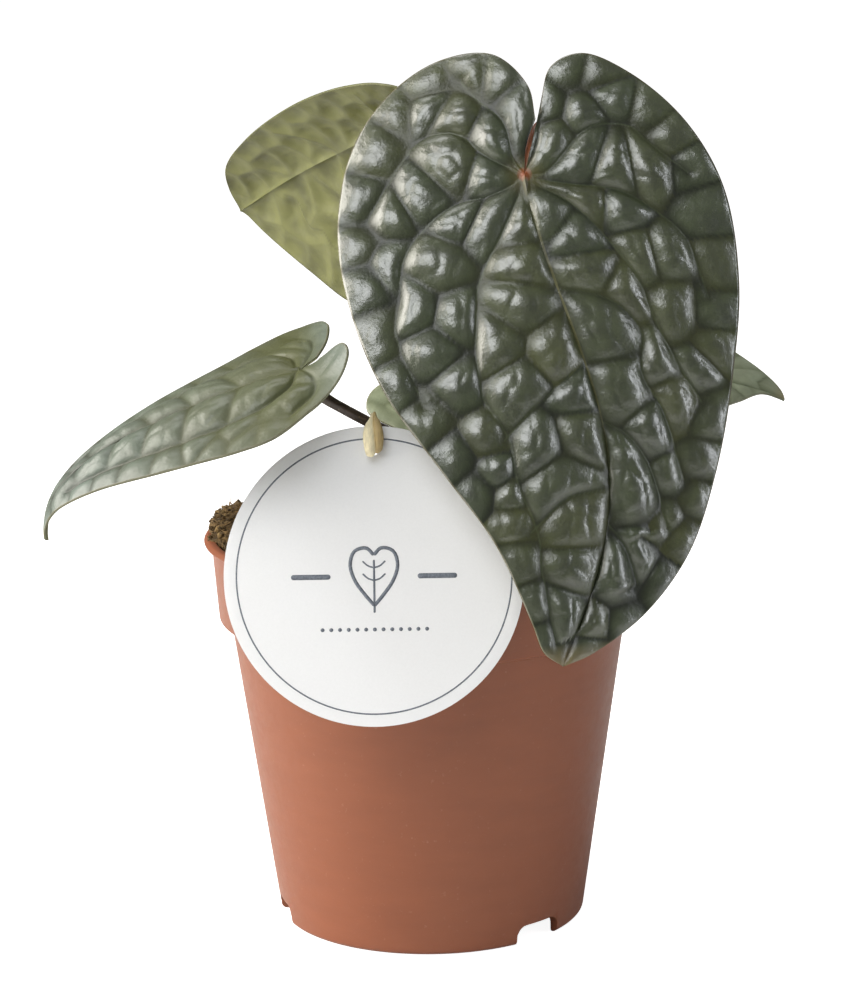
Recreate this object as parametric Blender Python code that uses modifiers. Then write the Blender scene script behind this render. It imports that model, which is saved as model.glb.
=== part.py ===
"""A young Anthurium luxurians in a 12 cm nursery pot, with a round card tag tied to one leaf stalk.

The pot's axis is Z, it stands on z = 0, and -Y is the front.
Lengths below are in millimetres and angles in degrees; the meshes are in metres.
"""
import math

import bpy
import bmesh
import numpy as np
from mathutils import Matrix, Vector

MM = 0.001
GAP = 0.3            # clearance between pieces that touch

# The pot: a thin pressed nursery pot, 12 cm across the lip.
POT_LIP_RADIUS = 60.0
POT_HEIGHT = 106.0
POT_LIP_DEPTH = 2.0
POT_WALL = 1.2
POT_FLOOR = 1.6
FLOOR_RISE = 5.6                        # the floor stands this high, but for a dished middle
FLOOR_TOP = FLOOR_RISE + POT_FLOOR
DISH_RADIUS = 11.0
DISH_TOP_RADIUS = 14.0
COLLAR_TOP_RADIUS = 58.0
COLLAR_FOOT_RADIUS = 56.4
COLLAR_FOOT_HEIGHT = 83.2
BODY_TOP_RADIUS = 53.3
FOOT_RADIUS = 41.5
FOOT_BEVEL = 0.8
POT_SIDES = 48
NOTCH_ANGLES = (43.0, 163.0, 283.0)     # round from the front, towards +X
NOTCH_WIDTH = 15.0
NOTCH_HEIGHT = 5.2
NOTCH_CORNER = 3.0
DRAIN_HOLES = 6
DRAIN_RADIUS = 3.0
DRAIN_RING_RADIUS = 22.0
DRAIN_START = 27.0                      # between two facets of the turned floor

# The soil and the crown that the stalks rise from.
SOIL_HEIGHT = 101.5
SOIL_RINGS = 8
SOIL_HEAP_HEIGHT = 10.2                 # heaped above the lip on the left
SOIL_HEAP_CENTRE = (-50.0, 12.0)
SOIL_HEAP_SPREAD = 30.0
SOIL_LUMP = 0.8
CROWN_RADIUS = 6.5
CROWN_TOP = 107.5
CROWN_FOOT = 88.0

# The tag: a round card that leans on the lip and hangs by a fibre loop.
TAG_RADIUS = 38.0
TAG_THICKNESS = 0.7
TAG_CENTRE = (-13.5, -59.7, 108.3)
TAG_LEAN = 13.0
TAG_HOLE_RADIUS = 1.9
TAG_HOLE_INSET = 5.6

# The leaves. Each outline half runs from the mouth of the sinus round the lobe to the tip,
# across the midrib (x) and along it (y), with the stalk's junction at 0, 0.
BLADE_THICKNESS = 0.8
LATERAL_LEAN = 0.85  # how far a side vein runs forward for each millimetre that it runs out
BULLA_EDGES = (0.27, 0.73)   # where the two raised lines of a cell lie between its veins

LEAVES = {
    "front": {
        "junction": (26.0, -38.0, 207.0), "heading": -90.0, "turn": 14.0, "pitch": -66.0,
        "arch": -8.0, "lift": -10.0, "hook": 0.0, "roll": 0.0, "fold": (-4.0, -4.0),
        "droop": (-10.0, -10.0), "sway": 17.8, "sinus": 1.0, "bulla": 1.7,
        "cells": (5, 9), "veins": (0.0, 0.27, 0.56, 0.84, 1.0), "seed": 3,
        "right": [(4.2, -16), (6.7, -28.5), (14.5, -32.5), (26.7, -27.7), (41, -15.3), (51, 2.5),
                  (54.7, 28), (52.4, 53), (47, 78), (38.6, 98.8), (25.6, 113.5), (10, 122.6), (2, 125)],
        "left": [(3.0, -14.5), (1.0, -23.5), (-8, -32), (-21.5, -31), (-34.4, -22.6), (-43.6, -9),
                 (-47.6, 11), (-45.5, 31), (-38, 53.2), (-24, 75.5), (-12, 93.6), (-3, 115), (2, 125)],
    },
    "left": {
        "junction": (-31.7, -48.0, 159.9), "heading": 180.0, "turn": 0.0, "pitch": -16.0,
        "arch": -20.0, "lift": 300.0, "hook": -70.0, "roll": -12.0, "fold": (-16.0, -4.0),
        "droop": (-10.0, 0.0), "sway": 0.0, "sinus": 0.5, "bulla": 1.3,
        "cells": (3, 6), "veins": (0.0, 0.42, 0.8, 1.0), "seed": 5,
        "right": [(0.4, -6), (0.9, -10.5), (3.5, -13.2), (7.5, -12.9), (11, -10.2), (15.5, -5), (21, 2.2),
                  (24.8, 10), (25, 20), (23, 32), (20, 44), (15.5, 56), (10.3, 67), (4.2, 76), (1.2, 80.5),
                  (0, 84)],
        "left": [(-1.6, -5), (-7, -8.4), (-13, -10.4), (-20, -11), (-27, -8.6), (-31, -4), (-31, 2.5),
                 (-27, 11), (-22, 20), (-18.5, 29), (-15.5, 38), (-12, 47), (-8.6, 56), (-5.6, 66),
                 (-3, 75), (-1.2, 80), (0, 84)],
    },
    "right": {
        "junction": (7.4, 15.0, 146.3), "heading": 3.0, "turn": 0.0, "pitch": 2.5,
        "arch": -12.0, "lift": 20.0, "hook": -14.0, "roll": 28.0, "fold": (-8.0, -8.0),
        "droop": (-6.0, -6.0), "sway": 0.0, "sinus": 0.5, "bulla": 1.3,
        "cells": (3, 6), "veins": (0.0, 0.42, 0.8, 1.0), "seed": 7,
        "right": [(0.8, -8), (2.5, -15), (7, -20), (13, -21), (20, -17.5), (27.5, -10), (33, -0.5),
                  (36, 12), (35, 28), (31, 45), (25.5, 60), (18.5, 73), (9.6, 82.5), (2.2, 89),
                  (-0.8, 91), (-3.2, 92)],
        "left": [(-0.8, -8), (-2.2, -16), (-5.6, -21), (-10, -23.3), (-14.6, -23), (-19.5, -17),
                 (-26.5, -7), (-32, 8), (-33, 22), (-30, 38), (-23.6, 54), (-16, 67), (-8.4, 79),
                 (-3.6, 85.4), (-3.2, 92)],
    },
    "back": {
        "junction": (-9.4, 0.0, 214.0), "heading": 122.0, "turn": 0.0, "pitch": -20.0,
        "arch": -8.0, "lift": 0.0, "hook": 0.0, "roll": 64.0, "fold": (-24.0, -2.0),
        "droop": (0.0, 0.0), "sway": 1.5, "sinus": 0.5, "bulla": 1.3,
        "cells": (3, 6), "veins": (0.0, 0.42, 0.8, 1.0), "seed": 11,
        "right": [(0.9, -8), (3.6, -17), (8.5, -20.5), (13.5, -15), (17.2, -4), (19.6, 12), (20.3, 30),
                  (19.4, 50), (16.4, 67), (10.5, 75.5), (3.6, 81)],
        "left": [(-0.8, -8), (-3, -17), (-9, -22.5), (-19, -20), (-30, -9), (-39, 8), (-43, 28), (-42, 47),
                 (-36, 61.5), (-22.3, 70.4), (-5.4, 78.6), (3.6, 81)],
    },
}
SPINE_REACH = (-40.0, 132.0)
SPINE_STEP = 0.25
HOOK_POWER = 6

# The stalks: route points from the crown to the underside of each blade, and their radii.
STALK_FOOT_RADIUS = 1.7
STALK_TOP_RADIUS = 1.3
STALK_START = CROWN_TOP + GAP
STALK_RISE = STALK_START + 3.0
STALKS = {
    "front": [(2.4, -2.4, STALK_START), (2.4, -2.4, STALK_RISE), (7, -15, 122), (11, -20.5, 134),
              (20, -22.5, 165), (29, -20.5, 196), (32, -20.5, 211), (31.4, -23.5, 217.5),
              (29.6, -27.5, 217), (27.6, -32.5, 211.5), (26.2, -36.0, 206.0)],
    "left": [(-2.4, -2.4, STALK_START), (-2.5, -3.2, STALK_RISE), (-3.2, -12, 116), (-4.6, -30, 131),
             (-7.6, -42.6, 140.6), (-13.6, -47, 145), (-20.5, -48.8, 149.3), (-25, -49.4, 152.2),
             (-29.4, -48.6, 155.7), (-31.3, -47.8, 158.6)],
    "right": [(2.4, 2.4, STALK_START), (2.4, 2.6, STALK_RISE), (3, 8, 122), (6, 16, 134),
              (7.4, 18.4, 140), (7.4, 15.8, 144.8)],
    "back": [(-2.4, 2.4, STALK_START), (-2.4, 2.2, STALK_RISE), (-2.3, -6, 120), (-2, -14, 134),
             (-4, -16, 150), (-9, -13, 175), (-14, -8, 198), (-14.3, -4.8, 208.5), (-10.5, -0.95, 213.3)],
}
STALK_POINTS_PER_SPAN = 2

# The tie: a closed loop of fibre through the tag's hole and round the left stalk.
TIE_THIN = 0.7
TIE_THICK = 2.3
TIE_X = -13.1
TIE_ROUTE = [(-52.4, 139.9, 1.1), (-54.6, 140.5, 1.5), (-55.4, 143.4, TIE_THICK),
             (-54.2, 146.3, 1.9), (-50.8, 147.9, 0.9), (-46.8, 147.8, TIE_THIN),
             (-43.9, 145.6, TIE_THIN), (-44.2, 142.0, TIE_THIN), (-47.4, 139.9, TIE_THIN)]

COLOURS = {
    "blade_front": (0.060, 0.078, 0.047), "blade_left": (0.180, 0.215, 0.155),
    "blade_right": (0.165, 0.190, 0.105), "blade_back": (0.200, 0.205, 0.085),
    "stalk_dark": (0.040, 0.022, 0.012), "stalk_red": (0.180, 0.062, 0.028),
    "pot": (0.390, 0.150, 0.095), "soil": (0.060, 0.035, 0.018), "crown": (0.100, 0.080, 0.030),
    "tag": (0.880, 0.880, 0.870), "tie": (0.620, 0.520, 0.310),
}


def material(name, colour, roughness):
    made = bpy.data.materials.new(name)
    made.use_nodes = True
    shader = made.node_tree.nodes["Principled BSDF"]
    shader.inputs["Base Color"].default_value = (*colour, 1.0)
    shader.inputs["Roughness"].default_value = roughness
    shader.inputs["Metallic"].default_value = 0.0
    made.diffuse_color = (*colour, 1.0)
    return made


def smooth_line(points, per_span):
    """A cubic curve through the points, each slope weighted by the chords on either side."""
    knots = np.array(points, dtype=float)
    spans = np.sqrt(np.linalg.norm(np.diff(knots, axis=0), axis=1))[:, None]
    rises = np.diff(knots, axis=0) / spans
    slopes = np.empty_like(knots)
    slopes[0], slopes[-1] = rises[0], rises[-1]
    slopes[1:-1] = (rises[:-1] * spans[1:] + rises[1:] * spans[:-1]) / (spans[1:] + spans[:-1])
    t = np.linspace(0.0, 1.0, per_span, endpoint=False)[None, :, None]
    start, end = knots[:-1, None], knots[1:, None]
    leave, arrive = (slopes[:-1] * spans)[:, None], (slopes[1:] * spans)[:, None]
    curve = ((2 * t**3 - 3 * t**2 + 1) * start + (t**3 - 2 * t**2 + t) * leave
             + (3 * t**2 - 2 * t**3) * end + (t**3 - t**2) * arrive)
    return np.vstack([curve.reshape(-1, knots.shape[1]), knots[-1:]])


def leaf_length(leaf):
    return leaf["left"][-1][1]


def midrib(leaf, along):
    """The midrib's sideways sway: nothing at the junction, most past the middle, small at the tip."""
    share = np.clip(along / leaf_length(leaf), 0.0, 1.0)
    return leaf["sway"] * np.sin(math.pi * share**1.4) + leaf["left"][-1][0] * share**3


def spine(leaf, along):
    """Points and axes of the blade's spine, walked in small steps from the junction.

    Each step points by a heading and a pitch. The pitch eases down by the arch, bends sharply
    near the tip by the hook, and behind the junction the lobes rise by the lift.
    """
    station = np.arange(SPINE_REACH[0], SPINE_REACH[1], SPINE_STEP)
    ahead, behind = np.maximum(station, 0.0), np.minimum(station, 0.0)
    heading = np.radians(leaf["heading"] + leaf["turn"] * station / 100.0)
    pitch = np.radians(leaf["pitch"] + (leaf["arch"] * ahead + leaf["lift"] * behind) / 100.0
                       + leaf["hook"] * (ahead / leaf_length(leaf))**HOOK_POWER)
    step = np.stack([np.cos(pitch) * np.cos(heading), np.cos(pitch) * np.sin(heading),
                     np.sin(pitch)], axis=1)
    walked = np.cumsum(step, axis=0) * SPINE_STEP
    walked -= [np.interp(0.0, station, walked[:, k]) for k in range(3)]

    def at(values):
        return np.stack([np.interp(along, station, values[:, k]) for k in range(3)], axis=-1)

    point = at(walked) + np.array(leaf["junction"])
    forward = at(step)
    forward /= np.linalg.norm(forward, axis=-1, keepdims=True)
    turned = np.interp(along, station, heading)
    level = np.stack([-np.sin(turned), np.cos(turned), np.zeros_like(turned)], axis=-1)
    up = np.cross(forward, level)
    roll = math.radians(leaf["roll"])
    side = level * math.cos(roll) + up * math.sin(roll)
    normal = up * math.cos(roll) - level * math.sin(roll)
    return point, side, normal


def blade_points(leaf, across, along, lift):
    """Places flat leaf coordinates on the folded, drooping blade, raised by lift off its sheet."""
    point, side, normal = spine(leaf, along)
    out = np.abs(across)
    hand = np.where(across > 0.0, 1.0, -1.0)
    fold = np.radians(np.where(across > 0.0, leaf["fold"][0], leaf["fold"][1]))
    bend = np.radians(np.where(across > 0.0, leaf["droop"][0], leaf["droop"][1])) / 100.0
    middle = fold + bend * out / 2.0
    reach, rise = out * np.cos(middle) * hand, out * np.sin(middle)
    tilt = fold * (1.0 - np.exp(-out / 3.0)) + bend * out
    off = normal * np.cos(tilt)[..., None] - side * (hand * np.sin(tilt))[..., None]
    return point + side * reach[..., None] + normal * rise[..., None] + off * lift[..., None]


def cell_lines(borders):
    """The borders of a row of cells, with each cell's two raised lines put in between."""
    borders = np.asarray(borders)
    widths = np.diff(borders)
    lines = [borders[:-1]] + [borders[:-1] + share * widths for share in BULLA_EDGES]
    return np.append(np.stack(lines, axis=1).ravel(), borders[-1])


def half_rows(leaf, half):
    """Feet and margin points of the rows that cross one half of the blade like side veins.

    The lobe's rows fan out from the junction. The rest start at even steps along the midrib, and
    each runs forward by LATERAL_LEAN as it runs out.
    """
    lobe_cells, body_cells = leaf["cells"]
    edge = smooth_line(leaf[half], 24)
    length = np.concatenate([[0.0], np.cumsum(np.linalg.norm(np.diff(edge, axis=0), axis=1))])
    foot = edge[:, 1] - LATERAL_LEAN * np.abs(edge[:, 0] - midrib(leaf, edge[:, 1]))
    foot = np.maximum.accumulate(foot)
    tip = leaf_length(leaf)
    first = np.interp(0.0, foot, length)
    lobe = cell_lines(np.linspace(0.0, first, lobe_cells + 1))[:-1]
    body = cell_lines(np.linspace(0.0, tip, body_cells + 1))
    feet = np.concatenate([np.zeros_like(lobe), body])
    reach = np.concatenate([lobe, np.interp(body, foot, length)])
    reach[-1] = length[-1]
    margin = np.stack([np.interp(reach, length, edge[:, k]) for k in range(2)], axis=1)
    return np.stack([midrib(leaf, feet), feet], axis=1), margin


def half_grid(leaf, half, random):
    """Flat places and relief of one half's grid, rows by columns.

    Every third row and column is a vein and lies low. The four places between them are the top
    of a bulla, lower where the grid is too narrow for it, and every inner place is jittered.
    """
    feet, margin = half_rows(leaf, half)
    share = cell_lines(leaf["veins"])
    flat = feet[:, None] + (margin - feet)[:, None] * share[None, :, None]
    rows, columns = flat.shape[:2]
    row, column = np.meshgrid(np.arange(rows), np.arange(columns), indexing="ij")
    away = 1.0 if half == "right" else -1.0
    bow = leaf["sinus"] * np.exp(-row / 2.0) * np.sin(math.pi * share)[None, :]
    flat[..., 0] += away * bow
    inner = (row > 1) & (row < rows - 2) & (column > 0) & (column < columns - 1)
    spacing = np.zeros((rows, columns))
    spacing[1:-1] = np.linalg.norm(flat[2:] - flat[:-2], axis=-1)
    roomy = np.clip((spacing - 2.0) / 5.0, 0.0, 1.0)
    nudge = random.uniform(-0.22, 0.22, (rows, columns, 2)) * (inner * roomy)[..., None]
    moved = flat.copy()
    moved[1:-1] += nudge[1:-1, :, :1] * (flat[2:] - flat[:-2]) / 2.0
    moved[:, 1:-1] += nudge[:, 1:-1, 1:] * (flat[:, 2:] - flat[:, :-2]) / 2.0
    raised_row, raised_column = row % 3 > 0, column % 3 > 0
    height = np.where(raised_row & raised_column, 1.0, np.where(raised_row | raised_column, 0.12, 0.0))
    height = np.where((column == columns - 1) & raised_row, 0.25, height)
    height = height * random.uniform(0.8, 1.1, (rows, columns)) * roomy
    height[:, 0] = -0.15
    height[:2], height[-1] = 0.0, 0.0
    return moved, height * leaf["bulla"]


def blade_mesh(name, leaf):
    """Both faces of the blade on one triangulation, closed by a rim round the margin."""
    random = np.random.default_rng(leaf["seed"])
    lobe_rows, body_rows = (3 * cells for cells in leaf["cells"])
    rows, columns = lobe_rows + body_rows + 1, 3 * len(leaf["veins"]) - 2
    halves = [half_grid(leaf, half, random) for half in ("right", "left")]

    # The junction, the midrib's stations and the tip come first, then each half's own places.
    spine_count = body_rows + 1
    spine_of_row = np.maximum(np.arange(rows) - lobe_rows, 0)
    flat = [halves[0][0][lobe_rows:, 0]]
    relief = [halves[0][1][lobe_rows:, 0]]
    numbers = []
    start = spine_count
    for places, heights in halves:
        number = np.empty((rows, columns), dtype=int)
        number[:, 0] = spine_of_row
        number[:-1, 1:] = start + np.arange((rows - 1) * (columns - 1)).reshape(rows - 1, columns - 1)
        number[-1, :] = spine_count - 1
        start += (rows - 1) * (columns - 1)
        flat.append(places[:-1, 1:].reshape(-1, 2))
        relief.append(heights[:-1, 1:].reshape(-1))
        numbers.append(number)
    flat, relief = np.vstack(flat), np.concatenate(relief)

    triangles = []
    for number, turned in zip(numbers, (False, True)):
        for row in range(rows - 1):
            for column in range(columns - 1):
                a, b = number[row, column], number[row + 1, column]
                c, d = number[row + 1, column + 1], number[row, column + 1]
                if row % 3 == column % 3:
                    pair = [(a, b, d), (b, c, d)]
                else:
                    pair = [(a, b, c), (a, c, d)]
                triangles += [t[::-1] if turned else t for t in pair if len(set(t)) == 3]
    right, left = numbers
    ring = [*right[0, 1:], *right[1:-1, -1], *left[::-1, -1], *left[0, -2::-1]]

    half_thick = BLADE_THICKNESS / 2.0
    top = blade_points(leaf, flat[:, 0], flat[:, 1], relief + half_thick)
    under = blade_points(leaf, flat[:, 0], flat[:, 1], relief - half_thick)
    count = len(flat)
    faces = [t[::-1] for t in triangles] + [tuple(i + count for i in t) for t in triangles]
    for here, there in zip(ring, ring[1:] + ring[:1]):
        faces += [(here, here + count, there + count), (here, there + count, there)]
    mesh = bpy.data.meshes.new(name)
    mesh.from_pydata(np.vstack([top, under]) * MM, [], [[int(i) for i in face] for face in faces])
    return mesh


def add_object(name, data, collection, finish):
    made = bpy.data.objects.new(name, data)
    data.materials.append(finish)
    collection.objects.link(made)
    return made


def make_blade(which, collection):
    name = f"blade_{which}"
    mesh = blade_mesh(name, LEAVES[which])
    shape = bmesh.new()
    shape.from_mesh(mesh)
    bmesh.ops.recalc_face_normals(shape, faces=shape.faces)
    shape.to_mesh(mesh)
    shape.free()
    mesh.shade_smooth()
    add_object(name, mesh, collection, material(name, COLOURS[name], 0.35))


def tube(name, points, radii, cyclic, collection, finish):
    """A round bar along the points: a poly curve with a bevel, whose points carry the radii."""
    curve = bpy.data.curves.new(name, "CURVE")
    curve.dimensions = "3D"
    curve.bevel_depth = MM
    curve.bevel_resolution = 2
    curve.use_fill_caps = not cyclic
    line = curve.splines.new("POLY")
    line.points.add(len(points) - 1)
    for point, place, radius in zip(line.points, points, radii):
        point.co = (*(value * MM for value in place), 1.0)
        point.radius = radius
    line.use_cyclic_u = cyclic
    return add_object(name, curve, collection, finish)


def make_stalk(which, collection):
    points = smooth_line(STALKS[which], STALK_POINTS_PER_SPAN)
    share = np.linspace(0.0, 1.0, len(points))
    radii = STALK_FOOT_RADIUS + (STALK_TOP_RADIUS - STALK_FOOT_RADIUS) * np.sqrt(share)
    colour = COLOURS["stalk_red" if which == "front" else "stalk_dark"]
    tube(f"petiole_{which}", points, radii, False, collection, material(f"petiole_{which}", colour, 0.4))


def make_tie(collection):
    route = [(TIE_X, y, z, radius) for y, z, radius in TIE_ROUTE]
    points = smooth_line(route[-2:] + route + route[:2], 2)[4:-4]
    tube("tag_tie", points[:-1, :3], points[:-1, 3], True, collection,
         material("tie", COLOURS["tie"], 0.8))


def turned(name, profile, sides, collection, finish):
    """A turned solid: the profile, from the axis round to the axis, swept by a Screw modifier."""
    mesh = bpy.data.meshes.new(name)
    places = [(r * MM, 0.0, z * MM) for r, z in profile]
    mesh.from_pydata(places, [(i, i + 1) for i in range(len(places) - 1)], [])
    made = add_object(name, mesh, collection, finish)
    screw = made.modifiers.new("turn", "SCREW")
    screw.steps = screw.render_steps = sides
    screw.use_merge_vertices = True
    screw.merge_threshold = 0.00001
    return made


def wall_radius(height):
    """The pot's inner radius at a height in the body, under the collar."""
    share = height / COLLAR_FOOT_HEIGHT
    return FOOT_RADIUS + (BODY_TOP_RADIUS - FOOT_RADIUS) * share - POT_WALL


def make_pot(collection, cutters):
    lip_foot = POT_HEIGHT - POT_LIP_DEPTH
    step_top = COLLAR_FOOT_HEIGHT + POT_WALL
    foot_edge = FOOT_RADIUS - FOOT_BEVEL
    profile = [
        (0.0, POT_FLOOR), (DISH_RADIUS, POT_FLOOR), (DISH_TOP_RADIUS, FLOOR_TOP),
        (wall_radius(FLOOR_TOP), FLOOR_TOP),
        (BODY_TOP_RADIUS - POT_WALL, step_top), (COLLAR_FOOT_RADIUS - POT_WALL, step_top + 0.6),
        (COLLAR_TOP_RADIUS - POT_WALL, POT_HEIGHT - 1.0), (COLLAR_TOP_RADIUS - 0.6, POT_HEIGHT),
        (POT_LIP_RADIUS - 0.9, POT_HEIGHT), (POT_LIP_RADIUS, POT_HEIGHT - 1.0),
        (POT_LIP_RADIUS, lip_foot + 0.6), (POT_LIP_RADIUS - 0.7, lip_foot),
        (COLLAR_TOP_RADIUS, lip_foot), (COLLAR_FOOT_RADIUS, COLLAR_FOOT_HEIGHT + 0.5),
        (COLLAR_FOOT_RADIUS - 0.6, COLLAR_FOOT_HEIGHT), (BODY_TOP_RADIUS, COLLAR_FOOT_HEIGHT),
        (FOOT_RADIUS, FOOT_BEVEL), (foot_edge, 0.0), (foot_edge - POT_WALL, 0.0),
        (foot_edge - POT_WALL, FLOOR_RISE), (DISH_TOP_RADIUS, FLOOR_RISE), (DISH_RADIUS, 0.0), (0.0, 0.0),
    ]
    pot = turned("pot", profile, POT_SIDES, collection, material("pot", COLOURS["pot"], 0.45))
    for index, angle in enumerate(NOTCH_ANGLES):
        shape = bmesh.new()
        bmesh.ops.create_cube(shape, size=1.0)
        size = Vector((NOTCH_WIDTH, 12.0, 2.0 * NOTCH_HEIGHT)) * MM
        bmesh.ops.scale(shape, vec=size, verts=shape.verts)
        upper = [edge for edge in shape.edges if all(v.co.z > 0.0 for v in edge.verts)
                 and abs(edge.verts[0].co.y - edge.verts[1].co.y) > MM]
        bmesh.ops.bevel(shape, geom=upper, offset=NOTCH_CORNER * MM, segments=3, affect="EDGES", profile=0.5)
        mesh = bpy.data.meshes.new(f"notch_{index}")
        shape.to_mesh(mesh)
        shape.free()
        cutter = bpy.data.objects.new(mesh.name, mesh)
        way = math.radians(angle - 90.0)
        reach = (FOOT_RADIUS + 0.5) * MM
        cutter.location = (reach * math.cos(way), reach * math.sin(way), 0.0)
        cutter.rotation_euler.z = math.radians(angle)
        add_cutter(pot, cutter, cutters)
    for index in range(DRAIN_HOLES):
        way = math.radians(DRAIN_START + 360.0 * index / DRAIN_HOLES)
        shape = bmesh.new()
        bmesh.ops.create_cone(shape, cap_ends=True, segments=12, radius1=DRAIN_RADIUS * MM,
                              radius2=DRAIN_RADIUS * MM, depth=4.0 * POT_FLOOR * MM)
        mesh = bpy.data.meshes.new(f"drain_{index}")
        shape.to_mesh(mesh)
        shape.free()
        cutter = bpy.data.objects.new(mesh.name, mesh)
        place = (DRAIN_RING_RADIUS * math.cos(way), DRAIN_RING_RADIUS * math.sin(way),
                 FLOOR_RISE + POT_FLOOR / 2.0)
        cutter.location = Vector(place) * MM
        add_cutter(pot, cutter, cutters)


def add_cutter(target, cutter, cutters):
    cutter.hide_render = True
    cutter.display_type = "WIRE"
    cutters.objects.link(cutter)
    cut = target.modifiers.new(cutter.name, "BOOLEAN")
    cut.operation = "DIFFERENCE"
    cut.object = cutter


def soil_top(x, y):
    """The soil's height: level, heaped on the left, with clods from crossed waves."""
    away = math.hypot(x - SOIL_HEAP_CENTRE[0], y - SOIL_HEAP_CENTRE[1])
    heap = SOIL_HEAP_HEIGHT * math.exp(-(away / SOIL_HEAP_SPREAD) ** 2)
    clods = (math.sin(x / 3.1 + 1.3) * math.cos(y / 3.7 - 0.4)
             + 0.6 * math.sin((x + y) / 2.3) * math.cos((x - y) / 2.9))
    from_crown = (math.hypot(x, y) - 2.0 * CROWN_RADIUS) / 8.0
    return SOIL_HEIGHT + heap + SOIL_LUMP * clods * min(max(from_crown, 0.0), 1.0)


def make_soil(collection):
    """A turned filling that follows the pot's inside, its top raised to soil_top."""
    hole = CROWN_RADIUS + GAP
    step = COLLAR_FOOT_HEIGHT + POT_WALL
    edge = COLLAR_TOP_RADIUS - POT_WALL - 2.0 * GAP
    profile = [(0.0, CROWN_FOOT - GAP), (hole, CROWN_FOOT - GAP)]
    profile += [(ring, SOIL_HEIGHT) for ring in np.linspace(hole, edge, SOIL_RINGS)]
    profile += [
        (COLLAR_FOOT_RADIUS - POT_WALL - GAP, step + 1.2), (BODY_TOP_RADIUS - POT_WALL - GAP, step + 0.6),
        (wall_radius(FLOOR_TOP + GAP) - GAP, FLOOR_TOP + GAP), (DISH_TOP_RADIUS - GAP, FLOOR_TOP + GAP),
        (DISH_RADIUS - GAP, POT_FLOOR + GAP), (0.0, POT_FLOOR + GAP),
    ]
    finish = material("soil", COLOURS["soil"], 0.95)
    rough = turned("soil_turned", profile, POT_SIDES, collection, finish)
    bpy.context.view_layer.update()
    mesh = bpy.data.meshes.new_from_object(rough.evaluated_get(bpy.context.evaluated_depsgraph_get()))
    bpy.data.objects.remove(rough)
    for vertex in mesh.vertices:
        if vertex.co.z > (SOIL_HEIGHT - 0.1) * MM:
            vertex.co.z = soil_top(vertex.co.x / MM, vertex.co.y / MM) * MM
    mesh.name = "soil"
    mesh.materials.clear()
    add_object("soil", mesh, collection, finish)


def make_crown(collection):
    profile = [(0.0, CROWN_TOP), (4.9, CROWN_TOP), (6.2, CROWN_TOP - 2.0), (CROWN_RADIUS, CROWN_TOP - 7.0),
               (CROWN_RADIUS, CROWN_FOOT), (0.0, CROWN_FOOT)]
    turned("crown", profile, 20, collection, material("crown", COLOURS["crown"], 0.7))


def make_tag(collection):
    """The card: a flat curve with its hole, stood up, leaned back and set against the lip."""
    curve = bpy.data.curves.new("tag", "CURVE")
    curve.dimensions = "2D"
    curve.fill_mode = "BOTH"
    curve.extrude = TAG_THICKNESS / 2.0 * MM
    hole_rise = TAG_RADIUS - TAG_HOLE_INSET
    for radius, rise, sides in ((TAG_RADIUS, 0.0, 72), (TAG_HOLE_RADIUS, hole_rise, 14)):
        line = curve.splines.new("POLY")
        line.points.add(sides - 1)
        for index, point in enumerate(line.points):
            way = 2.0 * math.pi * index / sides
            point.co = (radius * MM * math.cos(way), (rise + radius * math.sin(way)) * MM, 0.0, 1.0)
        line.use_cyclic_u = True
    tag = add_object("tag", curve, collection, material("tag", COLOURS["tag"], 0.7))
    tag.matrix_world = (Matrix.Translation(Vector(TAG_CENTRE) * MM)
                        @ Matrix.Rotation(math.radians(90.0 - TAG_LEAN), 4, "X"))


def main():
    for old in list(bpy.data.objects):
        bpy.data.objects.remove(old)
    plant = bpy.data.collections.new("potted_anthurium_luxurians")
    cutters = bpy.data.collections.new("cutters")
    for collection in (plant, cutters):
        bpy.context.scene.collection.children.link(collection)
    make_pot(plant, cutters)
    make_soil(plant)
    make_crown(plant)
    for which in LEAVES:
        make_blade(which, plant)
        make_stalk(which, plant)
    make_tag(plant)
    make_tie(plant)


main()
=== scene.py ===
"""A young potted anthurium with quilted leaves: surfaces, finishes, light and camera.

Shapes are worked out in millimetres and put into the meshes in metres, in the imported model's
frame: Z is the pot's axis, the pot stands on z = 0 and -Y is the front.
"""
import math

import bpy
import numpy as np
from bpy.props import FloatProperty, FloatVectorProperty, IntProperty, PointerProperty
from mathutils import Matrix, Vector


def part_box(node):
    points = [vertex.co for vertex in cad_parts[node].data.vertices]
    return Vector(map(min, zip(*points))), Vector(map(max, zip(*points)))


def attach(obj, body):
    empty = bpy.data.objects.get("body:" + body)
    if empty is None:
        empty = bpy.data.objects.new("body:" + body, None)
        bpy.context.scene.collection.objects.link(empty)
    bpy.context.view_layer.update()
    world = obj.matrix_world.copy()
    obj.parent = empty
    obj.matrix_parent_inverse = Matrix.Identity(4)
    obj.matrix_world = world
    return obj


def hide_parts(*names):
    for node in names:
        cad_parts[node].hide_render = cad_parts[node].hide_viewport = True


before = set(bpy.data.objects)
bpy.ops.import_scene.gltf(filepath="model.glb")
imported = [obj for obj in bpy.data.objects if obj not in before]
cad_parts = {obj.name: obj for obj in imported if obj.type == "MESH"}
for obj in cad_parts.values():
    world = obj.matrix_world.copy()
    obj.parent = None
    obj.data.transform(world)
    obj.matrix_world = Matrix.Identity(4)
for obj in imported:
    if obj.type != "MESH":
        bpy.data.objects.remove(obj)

bl_info = {
    "name": "Potted Anthurium",
    "version": (1, 0, 0),
    "blender": (4, 5, 0),
    "location": "3D View > Sidebar > Anthurium",
    "description": "Makes a young anthurium in a nursery pot, piece by piece",
    "category": "Add Mesh",
}

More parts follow.
